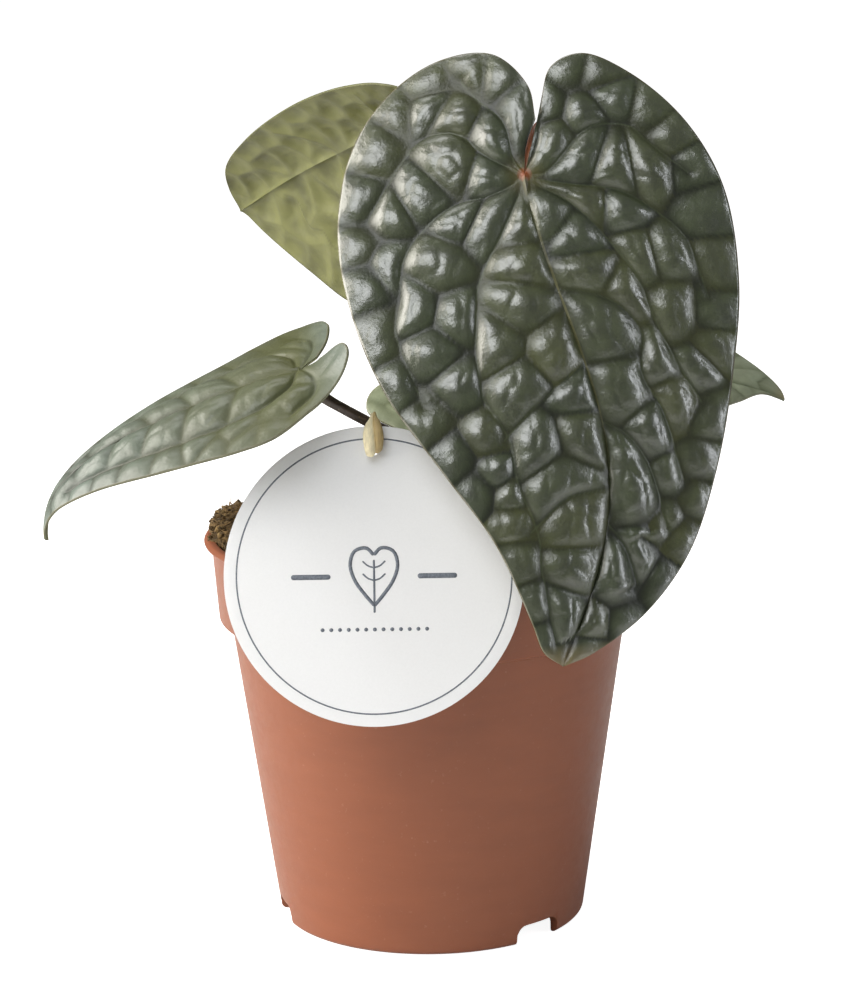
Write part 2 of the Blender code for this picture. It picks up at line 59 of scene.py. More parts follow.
MM = 0.001
PER_MM = 1000.0              # a pattern whose features are n millimetres has a scale of PER_MM / n
TURN = 2.0 * math.pi
RIGHT = np.array((1.0, 0.0, 0.0))
UP = np.array((0.0, 0.0, 1.0))
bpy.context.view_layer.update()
POT_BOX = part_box("pot")


def linear(code):
    """An sRGB hex colour as linear red, green and blue."""
    parts = np.array([int(code[k:k + 2], 16) for k in (1, 3, 5)]) / 255.0
    return tuple(np.where(parts <= 0.04045, parts / 12.92, ((parts + 0.055) / 1.055)**2.4).tolist())


# Lines, grids and shells

def smooth_line(points, per_span):
    """A cubic curve through the points, each slope weighted by the chords on either side."""
    knots = np.array(points, dtype=float)
    spans = np.sqrt(np.linalg.norm(np.diff(knots, axis=0), axis=1))[:, None]
    rises = np.diff(knots, axis=0) / spans
    slopes = np.empty_like(knots)
    slopes[0], slopes[-1] = rises[0], rises[-1]
    slopes[1:-1] = (rises[:-1] * spans[1:] + rises[1:] * spans[:-1]) / (spans[1:] + spans[:-1])
    t = np.linspace(0.0, 1.0, per_span, endpoint=False)[None, :, None]
    start, end = knots[:-1, None], knots[1:, None]
    leave, arrive = (slopes[:-1] * spans)[:, None], (slopes[1:] * spans)[:, None]
    curve = ((2 * t**3 - 3 * t**2 + 1) * start + (t**3 - 2 * t**2 + t) * leave
             + (3 * t**2 - 2 * t**3) * end + (t**3 - t**2) * arrive)
    return np.vstack([curve.reshape(-1, knots.shape[1]), knots[-1:]])


def run_lengths(line):
    """How far each point of a line is along it."""
    return np.concatenate([[0.0], np.cumsum(np.linalg.norm(np.diff(line, axis=0), axis=1))])


def sampled(steps, run, line):
    """The line where its run has the given steps, straight between its points."""
    return np.stack([np.interp(steps, run, column) for column in line.T], axis=-1)


def evenly(line, count):
    """The line again, as count points at equal steps."""
    run = run_lengths(line)
    return sampled(np.linspace(0.0, run[-1], count), run, line)


def unit(vectors):
    """The vectors, each made one long."""
    return vectors / np.linalg.norm(vectors, axis=-1, keepdims=True)


def full_turn(count):
    """Angles round a full turn, the last one back at the first."""
    return np.linspace(0.0, TURN, count)


def polar(radius, way, height):
    """Points at a distance from the pot's axis, at an angle round it and at a height."""
    return np.stack(np.broadcast_arrays(radius * np.cos(way), radius * np.sin(way), height),
                    axis=-1)


def rounded(profile, radius, steps):
    """A profile with its inner corners cut back, a quadratic curve of so many steps across each."""
    corner = np.array(profile, dtype=float)
    before, after = corner[:-2] - corner[1:-1], corner[2:] - corner[1:-1]
    long_before = np.linalg.norm(before, axis=1, keepdims=True)
    long_after = np.linalg.norm(after, axis=1, keepdims=True)
    back = np.minimum(radius, 0.42 * np.minimum(long_before, long_after))
    start = corner[1:-1] + before / long_before * back
    end = corner[1:-1] + after / long_after * back
    t = np.linspace(0.0, 1.0, steps)[None, :, None]
    curve = (1 - t)**2 * start[:, None] + 2 * t * (1 - t) * corner[1:-1, None] + t**2 * end[:, None]
    return np.vstack([corner[:1], curve.reshape(-1, corner.shape[1]), corner[-1:]])


def lattice(points, inward=False, finish=0, **values):
    """A grid of points as a patch: two triangles a square, facing row way x column way."""
    rows, columns = points.shape[:2]
    number = np.arange(rows * columns).reshape(rows, columns)
    a, b, c, d = number[:-1, :-1], number[1:, :-1], number[1:, 1:], number[:-1, 1:]
    faces = np.concatenate([np.stack(three, axis=-1).reshape(-1, 3)
                            for three in ((a, b, c), (a, c, d))])
    return {"points": points.reshape(-1, 3), "finish": finish,
            "faces": faces[:, ::-1] if inward else faces,
            "values": {name: np.broadcast_to(value, (rows, columns)).ravel()
                       for name, value in values.items()}}


def placed(name, data):
    """A new object in the scene."""
    made = bpy.data.objects.new(name, data)
    bpy.context.scene.collection.objects.link(made)
    return made


def shell(name, patches, finishes, node, sharp=None):
    """One object from patches, welded where their borders meet, riding on the root.

    Points that fall in the same thousandth of a millimetre become one. The object stands for
    the CAD node, where one is given.
    """
    points = np.concatenate([patch["points"] for patch in patches])
    starts = np.cumsum([0] + [len(patch["points"]) for patch in patches[:-1]])
    faces = np.concatenate([patch["faces"] + start for patch, start in zip(patches, starts)])
    finish = np.concatenate([np.full(len(patch["faces"]), patch["finish"]) for patch in patches])
    keys = np.floor(points * 1000.0 + 0.137).astype(np.int64)
    _, first, welded = np.unique(keys, axis=0, return_index=True, return_inverse=True)
    faces = welded.reshape(-1)[faces]
    whole = ((faces[:, 0] != faces[:, 1]) & (faces[:, 1] != faces[:, 2])
             & (faces[:, 0] != faces[:, 2]))
    mesh = bpy.data.meshes.new(name)
    mesh.from_pydata(points[first] * MM, [], faces[whole])
    for material in finishes:
        mesh.materials.append(material)
    mesh.polygons.foreach_set("material_index", finish[whole].astype(np.int32))
    for value in patches[0]["values"]:
        levels = np.concatenate([patch["values"][value] for patch in patches])
        layer = mesh.attributes.new(value, "FLOAT", "POINT")
        layer.data.foreach_set("value", levels[first])
    mesh.shade_smooth()
    if sharp is not None:
        mesh.set_sharp_from_angle(angle=math.radians(sharp))
    mesh.validate()
    made = placed(name, mesh)
    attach(made, "root")
    if node:
        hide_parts(node)
    return made


def hoops(path, side, other, girth, way):
    """Circles of the given girths round the points of a path, in the planes of two square axes."""
    return (path[..., None, :] + side[..., None, :] * (girth * np.cos(way))[..., None]
            + other[..., None, :] * (girth * np.sin(way))[..., None])


def hashed(cells, seed, count=1):
    """A fixed random number from 0 to 1 for each pair of whole numbers."""
    mixed = (cells[..., 0].astype(np.int64) * 374761393 + cells[..., 1].astype(np.int64) * 668265263
             + seed * 1274126177) & 0xFFFFFFFF
    numbers = []
    for _ in range(count):
        mixed = ((mixed ^ (mixed >> 13)) * 1274126177) & 0xFFFFFFFF
        mixed = mixed ^ (mixed >> 16)
        numbers.append(mixed / 4294967296.0)
    return np.stack(numbers, axis=-1)


def pebbles(places, size, seed):
    """Cells on a jittered square lattice: 0 on the border between two, 1 in the middle of one."""
    scaled = places / size
    home = np.floor(scaled)
    squared = []
    for dx in (-1, 0, 1):
        for dy in (-1, 0, 1):
            cell = home + (dx, dy)
            spot = cell + 0.15 + 0.7 * hashed(cell, seed, 2)
            squared.append(((scaled - spot)**2).sum(axis=-1))
    nearest = np.sqrt(np.sort(np.stack(squared, axis=-1), axis=-1)[..., :2])
    return np.clip((nearest[..., 1] - nearest[..., 0]) * 1.6, 0.0, 1.0)


def waves(places, size, seed):
    """Smooth random height from -1 to 1: lattice values joined by cubic easing, in 3 octaves."""
    total, weight = 0.0, 0.0
    for octave in range(3):
        scaled = places / size * 2**octave
        home = np.floor(scaled)
        part = scaled - home
        ease = part * part * (3 - 2 * part)
        corner = [hashed(home + step, seed + octave)[..., 0]
                  for step in ((0, 0), (1, 0), (0, 1), (1, 1))]
        low = corner[0] + (corner[1] - corner[0]) * ease[..., 0]
        high = corner[2] + (corner[3] - corner[2]) * ease[..., 0]
        total = total + (low + (high - low) * ease[..., 1] - 0.5) * 2.0 / 2**octave
        weight += 1.0 / 2**octave
    return total / weight


# Nodes

def fill(tree, node, inputs):
    """Fills a node's inputs, each with a value or with another node's output."""
    for key, value in inputs.items():
        there = node.inputs[key]
        if isinstance(value, bpy.types.NodeSocket):
            tree.links.new(value, there)
        else:
            there.default_value = (*value, 1.0) if there.type == "RGBA" else value


def add(tree, kind, inputs=None, out=0, **settings):
    """Adds a shader node with its settings and links, and gives one of its outputs."""
    made = tree.nodes.new("ShaderNode" + kind)
    for name, value in settings.items():
        setattr(made, name, value)
    fill(tree, made, inputs or {})
    return made.outputs[out]


def new_finish(name, *attributes):
    """An empty Principled material: itself, its tree, Object coordinates and mesh attributes."""
    made = bpy.data.materials.new(name)
    made.use_nodes = True
    tree = made.node_tree
    return (made, tree, add(tree, "TexCoord", out="Object"),
            *(add(tree, "Attribute", None, "Fac", attribute_name=key) for key in attributes))


def finished(made, **inputs):
    """The material with its shader's inputs filled: base_color, roughness, normal and so on."""
    named = {key.replace("_", " ").title().replace("Ior", "IOR"): inputs[key] for key in inputs}
    fill(made.node_tree, made.node_tree.nodes["Principled BSDF"], named)
    return made


def washed(tree, ground, *washes):
    """A colour with washes over it: each a value, its low and high, how much at each, a colour."""
    for value, low, high, least, most, colour in washes:
        amount = add(tree, "MapRange", {0: value, 1: low, 2: high, 3: least, 4: most})
        ground = add(tree, "Mix", {0: amount, 6: ground, 7: colour}, 2, data_type="RGBA")
    return ground


def shaded(colour, times, plus=0.0):
    """A colour made darker or lighter."""
    return tuple(min(1.0, value * times + plus) for value in colour)


# The blades

LATERAL_LEAN = 0.85          # how far a side vein runs forward for each millimetre that it runs out
SPINE_REACH = (-40.0, 132.0)
SPINE_STEP = 0.25
HOOK_POWER = 6
MARGIN_WEIGHT, MIDRIB_WEIGHT = 1.6, 0.9  # how the rows' spacing follows margin and midrib
MOUTH_RUN = 8.0              # how far along the margin the lobe's inner edge bows
COLLECTIVE = 0.86            # where the main veins end, as a share of the way out
VEIN_BOW = 0.09              # how far a main vein bows to the base, as a share of its length
FOLD_RUN = 3.0               # how far from the midrib its fold is spread
SEED_JITTER = 0.36           # how far a blister's seed strays from its lattice, in cells
ROW_HEIGHT = 0.87            # the lattice's rows are this far apart, in cells
STRIP_SHARE = 0.91           # where the margin's row of blisters lies, as a share of the way out
SMALLEST_CELL = 0.15         # smaller cells, in squares of the cell size, are left out
CUT_OFF = 1e4                # added to a spot's squared distance for each main vein in between
GROOVE_SHARE = 0.26          # how wide the grooves' slopes are, in cells
DOME_POWER = 0.72
TALL_SHARE = 0.4             # a blister's height as a share of its half width, up to the bulla
FOLD_HEIGHT, PEBBLE_DEPTH = 0.12, 0.2    # the small folds on a blister, as shares of the bulla
SWELL_RUN, EDGE_RUN = 6.0, 2.5
VEIN_WIDTH, RIB_WIDTH, GROOVE_WIDTH, EDGE_WIDTH, HEART_RADIUS = 0.42, 0.6, 0.5, 0.7, 4.5
UNDER_VEIN, UNDER_RIB = 0.1, 0.15        # how far the veins stand out of the underside
# The grooves' colour is painted shade for the creases between the blisters; the random mottle
# borrows it too.
BLADE_PARTS = {"face": "upper side", "groove_shade_and_mottle": "grooves", "under": "underside"}

# A half's flat coordinates start at the junction, with the tip up the y axis.
# junction: where the blade meets its stalk. heading, pitch and roll: how the spine starts. turn,
# arch and lift: how heading and pitch change over 100 mm, the last one behind the junction.
# hook: how the tip bends. fold and droop: how the right and the left half stand off the midrib,
# and bend over 100 mm. sway: how far the midrib strays. sinus: how the lobes' inner edges bow.
# bulla: the tallest blister. cell and strip: how far apart the blisters are, and those along the
# margin. shear and stretch skew their pattern. swell, sink: how far the sheet bulges between the
# main veins, and starts below. ridge: how high a main vein stands. vein_rows: further veins, as
# shares of the lobe's and of the midrib's length. colours: upper side, painted shade for the
# grooves (also the mottle's dark tone) and underside.
LEAVES = {
    "front": {
        "junction": (26.0, -38.0, 207.0), "heading": -90.0, "turn": 14.0, "pitch": -66.0,
        "arch": -8.0, "lift": -10.0, "hook": 0.0, "roll": 0.0, "fold": (-4.0, -4.0),
        "droop": (-10.0, -10.0), "sway": 17.8, "sinus": 1.0, "bulla": 1.9, "shear": 0.0,
        "cell": {"right": 11.6, "left": 12.4}, "vein_rows": ((), ()),
        "stretch": (0.98, 0.96), "strip": 12.0, "swell": 0.8, "sink": 0.8, "ridge": 0.12,
        "rows": 310, "columns": 76, "seed": 3, "colours": ("#384029", "#191c13", "#74774f"),
        "right": [(4.2, -16), (6.7, -28.5), (14.5, -32.5), (26.7, -27.7), (41, -15.3), (51, 2.5),
                  (54.7, 28), (52.4, 53), (47, 78), (38.6, 98.8), (25.6, 113.5), (10, 122.6),
                  (2, 125)],
        "left": [(3.0, -14.5), (1.0, -23.5), (-8, -32), (-21.5, -31), (-34.4, -22.6), (-43.6, -9),
                 (-47.6, 11), (-45.5, 31), (-38, 53.2), (-24, 75.5), (-12.6, 93.6), (-5, 114),
                 (-2.6, 121.4), (2, 125)],
        "right_veins": [
            [(0.6, 1.0), (5.1, -0.3), (12.3, -8.5), (16.7, -12.7), (26.7, -13.3), (31.7, -9),
             (42, -1)],
            [(0.6, 1.0), (12.2, 2.6), (23.6, 3.9), (32.9, 9), (40.4, 15.6), (43.9, 23.8),
             (46.5, 32)],
            [(0.6, 1.6), (12, 7.8), (20.4, 16.5), (28, 26.8), (32, 37.1), (36.5, 47), (44, 60)],
            [(8.0, 30), (16, 31), (24.1, 34.9), (28.9, 42.2), (28.4, 52.4), (33.2, 61.3), (38, 80)],
            [(17.0, 64), (24, 68), (29, 76), (33, 92)], [(16.8, 90), (21, 96), (24, 106)]],
        "left_veins": [
            [(0, 0), (-2.7, -3.3), (-5.4, -13.8), (-12.3, -20.4), (-16, -25)],
            [(0, 0), (-8.4, -4.2), (-18, -11.3), (-26.9, -9.1), (-33.1, -1), (-40, 11)],
            [(0, 1), (-6.4, 4.3), (-20.7, 9.1), (-29.4, 18.1), (-32.1, 23.7), (-32, 30.9),
             (-33.8, 39.3), (-32, 45.8), (-28, 58)],
            [(0, 2), (-4.5, 12), (-9.7, 22), (-12.9, 29.7), (-13.6, 38.3), (-12.9, 56.6),
             (-7, 67.9), (-5.9, 77.7), (-1.5, 91.9), (-1.5, 99.8), (-0.8, 105.9), (0.6, 119)],
            [(14.5, 48.4), (3.6, 56.8), (-8.4, 67.9)], [(17.8, 81.4), (6.8, 83.2), (-3.4, 91.3)]],
    },
    "left": {
        "junction": (-31.7, -48.0, 159.9), "heading": 180.0, "turn": 0.0, "pitch": -16.0,
        "arch": -20.0, "lift": 300.0, "hook": -70.0, "roll": -12.0, "fold": (-16.0, -4.0),
        "droop": (-10.0, 0.0), "sway": 0.0, "sinus": 0.5, "bulla": 1.7, "shear": 0.35,
        "cell": {"right": 10.5, "left": 11.0}, "vein_rows": ((), ()),
        "right_veins": [[(0.3, 0.6), (7, 3), (12, 11), (14, 24), (13, 38), (9.5, 54), (5, 68)],
                        [(0.3, -0.6), (7, -3), (13, -2), (18, 4)]],
        "left_veins": [[(-0.3, 0.6), (-9, 2), (-15, 8), (-14, 20), (-11, 34), (-8, 50), (-4, 66)],
                       [(-0.3, -0.6), (-9, -4), (-18, -4), (-24, 0)]],
        "stretch": (0.8, 0.85), "strip": 8.6, "swell": 1.4, "sink": 0.5, "ridge": -0.3,
        "rows": 210, "columns": 54, "seed": 5, "colours": ("#606a61", "#272c20", "#7f8160"),
        "right": [(0.4, -6), (0.9, -10.5), (3.5, -13.2), (7.5, -12.9), (11, -10.2), (15.5, -5),
                  (21, 2.2), (24.8, 10), (25, 20), (23, 32), (20, 44), (15.5, 56), (10.3, 67),
                  (4.2, 76), (1.2, 80.5), (0, 84)],
        "left": [(-1.6, -5), (-7, -8.4), (-13, -10.4), (-20, -11), (-27, -8.6), (-31, -4),
                 (-31, 2.5), (-27, 11), (-22, 20), (-18.5, 29), (-15.5, 38), (-12, 47),
                 (-8.6, 56), (-5.6, 66), (-3, 75), (-1.2, 80), (0, 84)],
    },
    "right": {
        "junction": (7.4, 15.0, 146.3), "heading": 3.0, "turn": 0.0, "pitch": 2.5,
        "arch": -12.0, "lift": 20.0, "hook": -14.0, "roll": 28.0, "fold": (-8.0, -8.0),
        "droop": (-6.0, -6.0), "sway": 0.0, "sinus": 0.5, "bulla": 1.3, "shear": 0.5,
        "cell": {"right": 10.5, "left": 10.5},
        "vein_rows": ((0.3, 0.6, 0.88), (0.12, 0.3, 0.5, 0.7)), "stretch": (0.85, 1.0),
        "strip": 11.0, "swell": 0.6, "sink": 0.3, "ridge": 0.06,
        "rows": 230, "columns": 60, "seed": 7, "colours": ("#8d947a", "#5f664b", "#8a906f"),
        "right": [(0.8, -8), (2.5, -15), (7, -20), (13, -21), (20, -17.5), (27.5, -10),
                  (33, -0.5), (36, 12), (35, 28), (31, 45), (25.5, 60), (18.5, 73), (9.6, 82.5),
                  (2.2, 89), (-0.8, 91), (-3.2, 92)],
        "left": [(-0.8, -8), (-2.2, -16), (-5.6, -21), (-10, -23.3), (-14.6, -23), (-19.5, -17),
                 (-26.5, -7), (-32, 8), (-33, 22), (-30, 38), (-23.6, 54), (-16, 67), (-8.4, 79),
                 (-3.6, 85.4), (-3.2, 92)],
    },
    "back": {
        "junction": (-9.4, 0.0, 214.0), "heading": 122.0, "turn": 0.0, "pitch": -20.0,
        "arch": -8.0, "lift": 0.0, "hook": 0.0, "roll": 64.0, "fold": (-24.0, -2.0),
        "droop": (0.0, 0.0), "sway": 1.5, "sinus": 0.5, "bulla": 2.2, "shear": 0.0,
        "cell": {"right": 9.4, "left": 13.0}, "vein_rows": ((0.6,), (0.3,)),
        "left_veins": [[(-0.5, 59), (-3.9, 56), (-9.3, 57.4), (-12.2, 57.2), (-14.8, 53.6),
                        (-20.3, 53.4), (-25.5, 50.4), (-31.6, 49)]],
        "stretch": (0.95, 1.0), "strip": 9.0, "swell": 0.5, "sink": 0.3, "ridge": 0.03,
        "rows": 230, "columns": 60, "seed": 11, "colours": ("#4f5840", "#2c3122", "#696b37"),
        "right": [(0.9, -8), (3.6, -17), (8.5, -20.5), (13.5, -15), (17.2, -4), (19.6, 12),
                  (20.3, 30), (19.4, 50), (16.4, 67), (10.5, 75.5), (3.6, 81)],
        "left": [(-0.8, -8), (-3, -17), (-9, -22.5), (-19, -20), (-30, -9), (-39, 8), (-43, 28),
                 (-42, 47), (-36, 61.5), (-22.3, 70.4), (-5.4, 78.6), (3.6, 81)],
    },
}


def leaf_length(leaf):
    """How far the tip is from the junction, along the blade."""
    return leaf["left"][-1][1]


def midrib(leaf, along):
    """The midrib's sideways sway: a bow that is widest past the middle, and the tip's own place."""
    share = np.clip(along / leaf_length(leaf), 0.0, 1.0)
    return leaf["sway"] * np.sin(math.pi * share**1.4) + leaf["left"][-1][0] * share**3


def spine(leaf, along):
    """Points and axes of the blade's spine, walked in small steps from the junction.

    Each step points by a heading and a pitch. The pitch eases down by the arch, bends sharply
    near the tip by the hook, and behind the junction the lobes rise by the lift.
    """
    station = np.arange(*SPINE_REACH, SPINE_STEP)
    ahead, behind = np.maximum(station, 0.0), np.minimum(station, 0.0)
    heading = np.radians(leaf["heading"] + leaf["turn"] * station / 100.0)
    pitch = np.radians(leaf["pitch"] + (leaf["arch"] * ahead + leaf["lift"] * behind) / 100.0
                       + leaf["hook"] * (ahead / leaf_length(leaf))**HOOK_POWER)
    step = np.stack([np.cos(pitch) * np.cos(heading), np.cos(pitch) * np.sin(heading),
                     np.sin(pitch)], axis=1)
    walked = np.cumsum(step, axis=0) * SPINE_STEP
    walked -= sampled(0.0, station, walked)
    point = sampled(along, station, walked) + np.array(leaf["junction"])
    forward = unit(sampled(along, station, step))
    turned_by = np.interp(along, station, heading)
    level = np.stack([-np.sin(turned_by), np.cos(turned_by), np.zeros_like(turned_by)], axis=-1)
    up = np.cross(forward, level)
    roll = math.radians(leaf["roll"])
    side = level * math.cos(roll) + up * math.sin(roll)
    normal = up * math.cos(roll) - level * math.sin(roll)
    return point, side, normal


def blade_points(leaf, across, along, lift):
    """Places flat coordinates on the folded, drooping blade, raised by lift off its sheet.

    The fold's angle grows from 0 on the midrib by 1 - exp(-distance / FOLD_RUN), and the droop
    adds to it evenly all the way out.
    """
    point, side, normal = spine(leaf, along)
    out = np.abs(across)
    hand = np.where(across > 0.0, 1.0, -1.0)
    fold = np.radians(np.where(across > 0.0, *leaf["fold"]))
    bend = np.radians(np.where(across > 0.0, *leaf["droop"])) / 100.0
    spread = 1.0 - np.exp(-out / FOLD_RUN)
    middle = fold + bend * out / 2.0
    reach = out * np.cos(middle) * hand
    rise = out * np.sin(middle) - FOLD_RUN * np.sin(fold) * spread
    tilt = fold * spread + bend * out
    off = normal * np.cos(tilt)[..., None] - side * (hand * np.sin(tilt))[..., None]
    return point + side * reach[..., None] + normal * rise[..., None] + off * lift[..., None]


def half_sheet(leaf, half):
    """Flat places of one half of a blade, rows by columns, and each column's share of the way out.

    Rows are spaced evenly by margin and midrib together. Each runs from the midrib to the margin,
    forward by LATERAL_LEAN as it runs out, and the lobe's rows all start at the junction.
    """
    edge = smooth_line(leaf[half], 24)
    run, tip = run_lengths(edge), leaf_length(leaf)
    foot = edge[:, 1] - LATERAL_LEAN * np.abs(edge[:, 0] - midrib(leaf, edge[:, 1]))
    foot = np.clip(np.maximum.accumulate(foot), 0.0, tip)
    foot[-1] = tip
    measure = MARGIN_WEIGHT * run + MIDRIB_WEIGHT * foot
    steps = np.linspace(0.0, measure[-1], leaf["rows"])
    margin = sampled(steps, measure, edge)
    along = np.interp(steps, measure, foot)
    feet = np.stack([midrib(leaf, along), along], axis=1)
    share = np.linspace(0.0, 1.0, leaf["columns"])
    flat = feet[:, None] + (margin - feet)[:, None] * share[None, :, None]
    near_mouth = np.exp(-np.interp(steps, measure, run) / MOUTH_RUN)[:, None]
    bow = leaf["sinus"] * near_mouth * np.sin(math.pi * share)
    flat[..., 0] += bow if half == "right" else -bow
    flat[-1] = margin[-1]
    return flat, np.broadcast_to(share, flat.shape[:2]), along


def side_veins(leaf, half, flat, along):
    """A half's main veins as flat lines: measured ones, and rows of the sheet bowed to the base."""
    veins = [smooth_line(vein, 5) for vein in leaf.get(half + "_veins", [])]
    lobe_end = int(np.argmax(along > 0.0))
    rows = [int(lobe_end * share) for share in leaf["vein_rows"][0]]
    rows += [int(np.argmax(along > share * along[-1])) for share in leaf["vein_rows"][1]]
    for row in rows:
        line = flat[row, :int(COLLECTIVE * (flat.shape[1] - 1)):3].copy()
        share = np.linspace(0.0, 1.0, len(line))
        long = np.linalg.norm(line[-1] - line[0])
        line[:, 1] -= VEIN_BOW * long * np.sin(math.pi * share) * share**0.3
        veins.append(line)
    return veins


def to_line(places, line):
    """Each place's distance to a line, and its side of it: 1 or -1, or 0 past the line's ends."""
    step = np.diff(line, axis=0)
    away = places[:, None] - line[None, :-1]
    share = (away * step).sum(axis=-1) / (step**2).sum(axis=-1)
    off = away - np.clip(share, 0.0, 1.0)[..., None] * step
    far = np.hypot(off[..., 0], off[..., 1])
    best = far.argmin(axis=1)
    own = (np.arange(len(places)), best)
    side = np.sign(step[best, 0] * away[own][:, 1] - step[best, 1] * away[own][:, 0])
    past = ((best == 0) & (share[own] < 0.0)) | ((best == len(step) - 1) & (share[own] > 1.0))
    return far[own], np.where(past, 0.0, side)


def soft_least(distances, softness):
    """The least distance, eased: -softness x log(sum of exp(-distance / softness))."""
    return -softness * np.log(np.exp(-distances / softness).sum(axis=1) + 1e-12)


def skewed(leaf, flat):
    """Flat places in the measure in which the blisters are even: sheared, then stretched."""
    across = flat[..., 0]
    return np.stack([across, flat[..., 1] - leaf["shear"] * np.abs(across)],
                    axis=-1) * leaf["stretch"]


def owners(places, sides, lines, spots):
    """The spot that owns each place: the nearest one that no main vein cuts off from it."""
    spot_sides = np.stack([to_line(spots, line)[1] for line in lines], axis=1)
    apart = (np.abs(sides) @ np.abs(spot_sides).T - sides @ spot_sides.T) / 2.0
    squared = ((places[:, None] - spots[None])**2).sum(axis=-1)
    return apart, squared, (squared + CUT_OFF * apart).argmin(axis=1)


def blister_spots(leaf, flat, share, sides, lines, size, random):
    """The blisters' middles: a jittered lattice evened out once, and a row along the margin.

    Evening out moves each seed to the middle of the places that it owns, weighted by their areas.
    """
    places, out = flat.reshape(-1, 2), share.reshape(-1)
    low, high = places.min(axis=0) - size, places.max(axis=0) + size
    columns, rows = np.meshgrid(*[np.arange(0, math.ceil((high - low).max() / size) + 2)] * 2)
    seeds = np.stack([columns + 0.5 * (rows % 2), rows * ROW_HEIGHT], axis=-1)
    seeds = seeds.reshape(-1, 2) * size + low
    seeds += random.uniform(-SEED_JITTER, SEED_JITTER, seeds.shape) * size
    gap = ((seeds[:, None] - places[None])**2).sum(axis=-1)
    closest = gap.argmin(axis=1)
    seeds = seeds[(gap.min(axis=1) < 2.0) & (out[closest] < 0.8) & (out[closest] > 0.05)]

    run = run_lengths(flat[:, -1])
    count = max(int(run[-1] / leaf["strip"]), 4)
    stations = (np.arange(count) + 0.5 + random.uniform(-0.26, 0.26, count)) / count * run[-1]
    strip = sampled(stations, run, flat[:, int(round(STRIP_SHARE * (leaf["columns"] - 1)))])

    down, over = np.gradient(flat, axis=0), np.gradient(flat, axis=1)
    area = np.abs(down[..., 0] * over[..., 1] - down[..., 1] * over[..., 0]).reshape(-1)
    own = owners(places, sides, lines, np.vstack([seeds, strip]))[2]
    total, across, along = (np.bincount(own, area * weight, len(seeds) + count)[:len(seeds)]
                            for weight in (1.0, places[:, 0], places[:, 1]))
    total += 1e-9
    seeds = np.stack([across, along], axis=1) / total[:, None]
    return np.vstack([seeds[total > SMALLEST_CELL * size**2], strip])


def blistered(leaf, half, settings, random):
    """One half's flat places with its blisters, grooves and veins.

    Blisters are Voronoi cells round their spots, and no cell crosses a main vein. A blister's
    height is its own height times the product, over its borders, of 1 - exp(-distance /
    GROOVE_SHARE cell sizes), to the DOME_POWER and as a share of its most in the cell, on a
    slightly tilted plane. Between the main veins the whole sheet swells by
    1 - exp(-distance / SWELL_RUN), and a thin ridge follows each main vein.
    """
    true_flat, share, along = half_sheet(leaf, half)
    flat = skewed(leaf, true_flat)
    places = flat.reshape(-1, 2)
    lines = [skewed(leaf, line) for line in side_veins(leaf, half, true_flat, along)]
    near, sides = (np.stack(each, axis=1)
                   for each in zip(*[to_line(places, line) for line in lines]))
    size = leaf["cell"][half] * settings.cell_scale
    spots = blister_spots(leaf, flat, share, sides, lines, size, random)

    apart, squared, own = owners(places, sides, lines, spots)
    index = (np.arange(len(places)), own)
    between = np.linalg.norm(spots[own][:, None] - spots[None], axis=-1)
    border = (squared - squared[index][:, None]) / (2.0 * between + 1e-9)
    border[apart > 0.5] = np.inf
    border[index] = np.inf
    to_rib, to_edge, to_mouth = (to_line(places, line)[0] for line in (
        flat[along > 0.0, 0], flat[::2, -1], flat[0, ::3]))

    borders = np.hstack([border, near, np.stack([to_rib, to_mouth], axis=1)])
    borders = np.maximum(borders, 0.0)
    least = borders.min(axis=1)
    dome = np.prod(1.0 - np.exp(-borders / (GROOVE_SHARE * size)), axis=1)**DOME_POWER
    peak, widest = np.zeros(len(spots)), np.zeros(len(spots))
    np.maximum.at(peak, own, dome)
    np.maximum.at(widest, own, least)
    body = dome / (peak[own] + 1e-6)
    tall = np.minimum(TALL_SHARE * widest, leaf["bulla"])
    tall *= random.uniform(0.85, 1.15, len(spots))
    tilt = random.uniform(-0.04, 0.04, (len(spots), 2))
    folds = FOLD_HEIGHT * waves(places, 0.5 * size, leaf["seed"] + 50)
    folds -= PEBBLE_DEPTH * (1.0 - pebbles(places, 0.46 * size, leaf["seed"]))**2
    tilted = ((places - spots[own]) * tilt[own]).sum(axis=1)
    rise = body * (tall[own] + tilted + leaf["bulla"] * folds)
    ribs = np.hstack([near, np.stack([to_rib, to_mouth, to_edge], axis=1)])
    rise += leaf["swell"] * (1.0 - np.exp(-np.maximum(soft_least(ribs, 1.0), 0.0) / SWELL_RUN))
    rise = (rise - leaf["sink"]) * (1.0 - np.exp(-to_edge / EDGE_RUN))
    forward = (true_flat[..., 1] / leaf_length(leaf)).reshape(-1)
    fade = np.clip(1.0 - forward, 0.0, 1.0)
    vein = np.exp(-(near.min(axis=1) / VEIN_WIDTH)**2)
    rib = np.exp(-(to_rib / RIB_WIDTH)**2)
    rise += leaf["ridge"] * (vein + rib * (2.0 * fade - 1.0))

    rise = eased(rise.reshape(share.shape), 2) * settings.relief
    values = {"body": body, "vein": vein, "rib": rib * fade, "along": forward,
              "tone": random.uniform(0.0, 1.0, len(spots))[own],
              "groove": np.exp(-least / GROOVE_WIDTH), "edge": np.exp(-to_edge / EDGE_WIDTH),
              "heart": np.exp(-(true_flat**2).sum(axis=-1).reshape(-1) / HEART_RADIUS**2)}
    return true_flat, rise, {name: value.reshape(share.shape) for name, value in values.items()}


def eased(heights, times):
    """A grid of heights, each inner one moved halfway to the mean of its four neighbours."""
    heights = heights.copy()
    for _ in range(times):
        mean = (heights[2:, 1:-1] + heights[:-2, 1:-1]
                + heights[1:-1, 2:] + heights[1:-1, :-2]) / 4.0
        heights[1:-1, 1:-1] = (heights[1:-1, 1:-1] + mean) / 2.0
    return heights


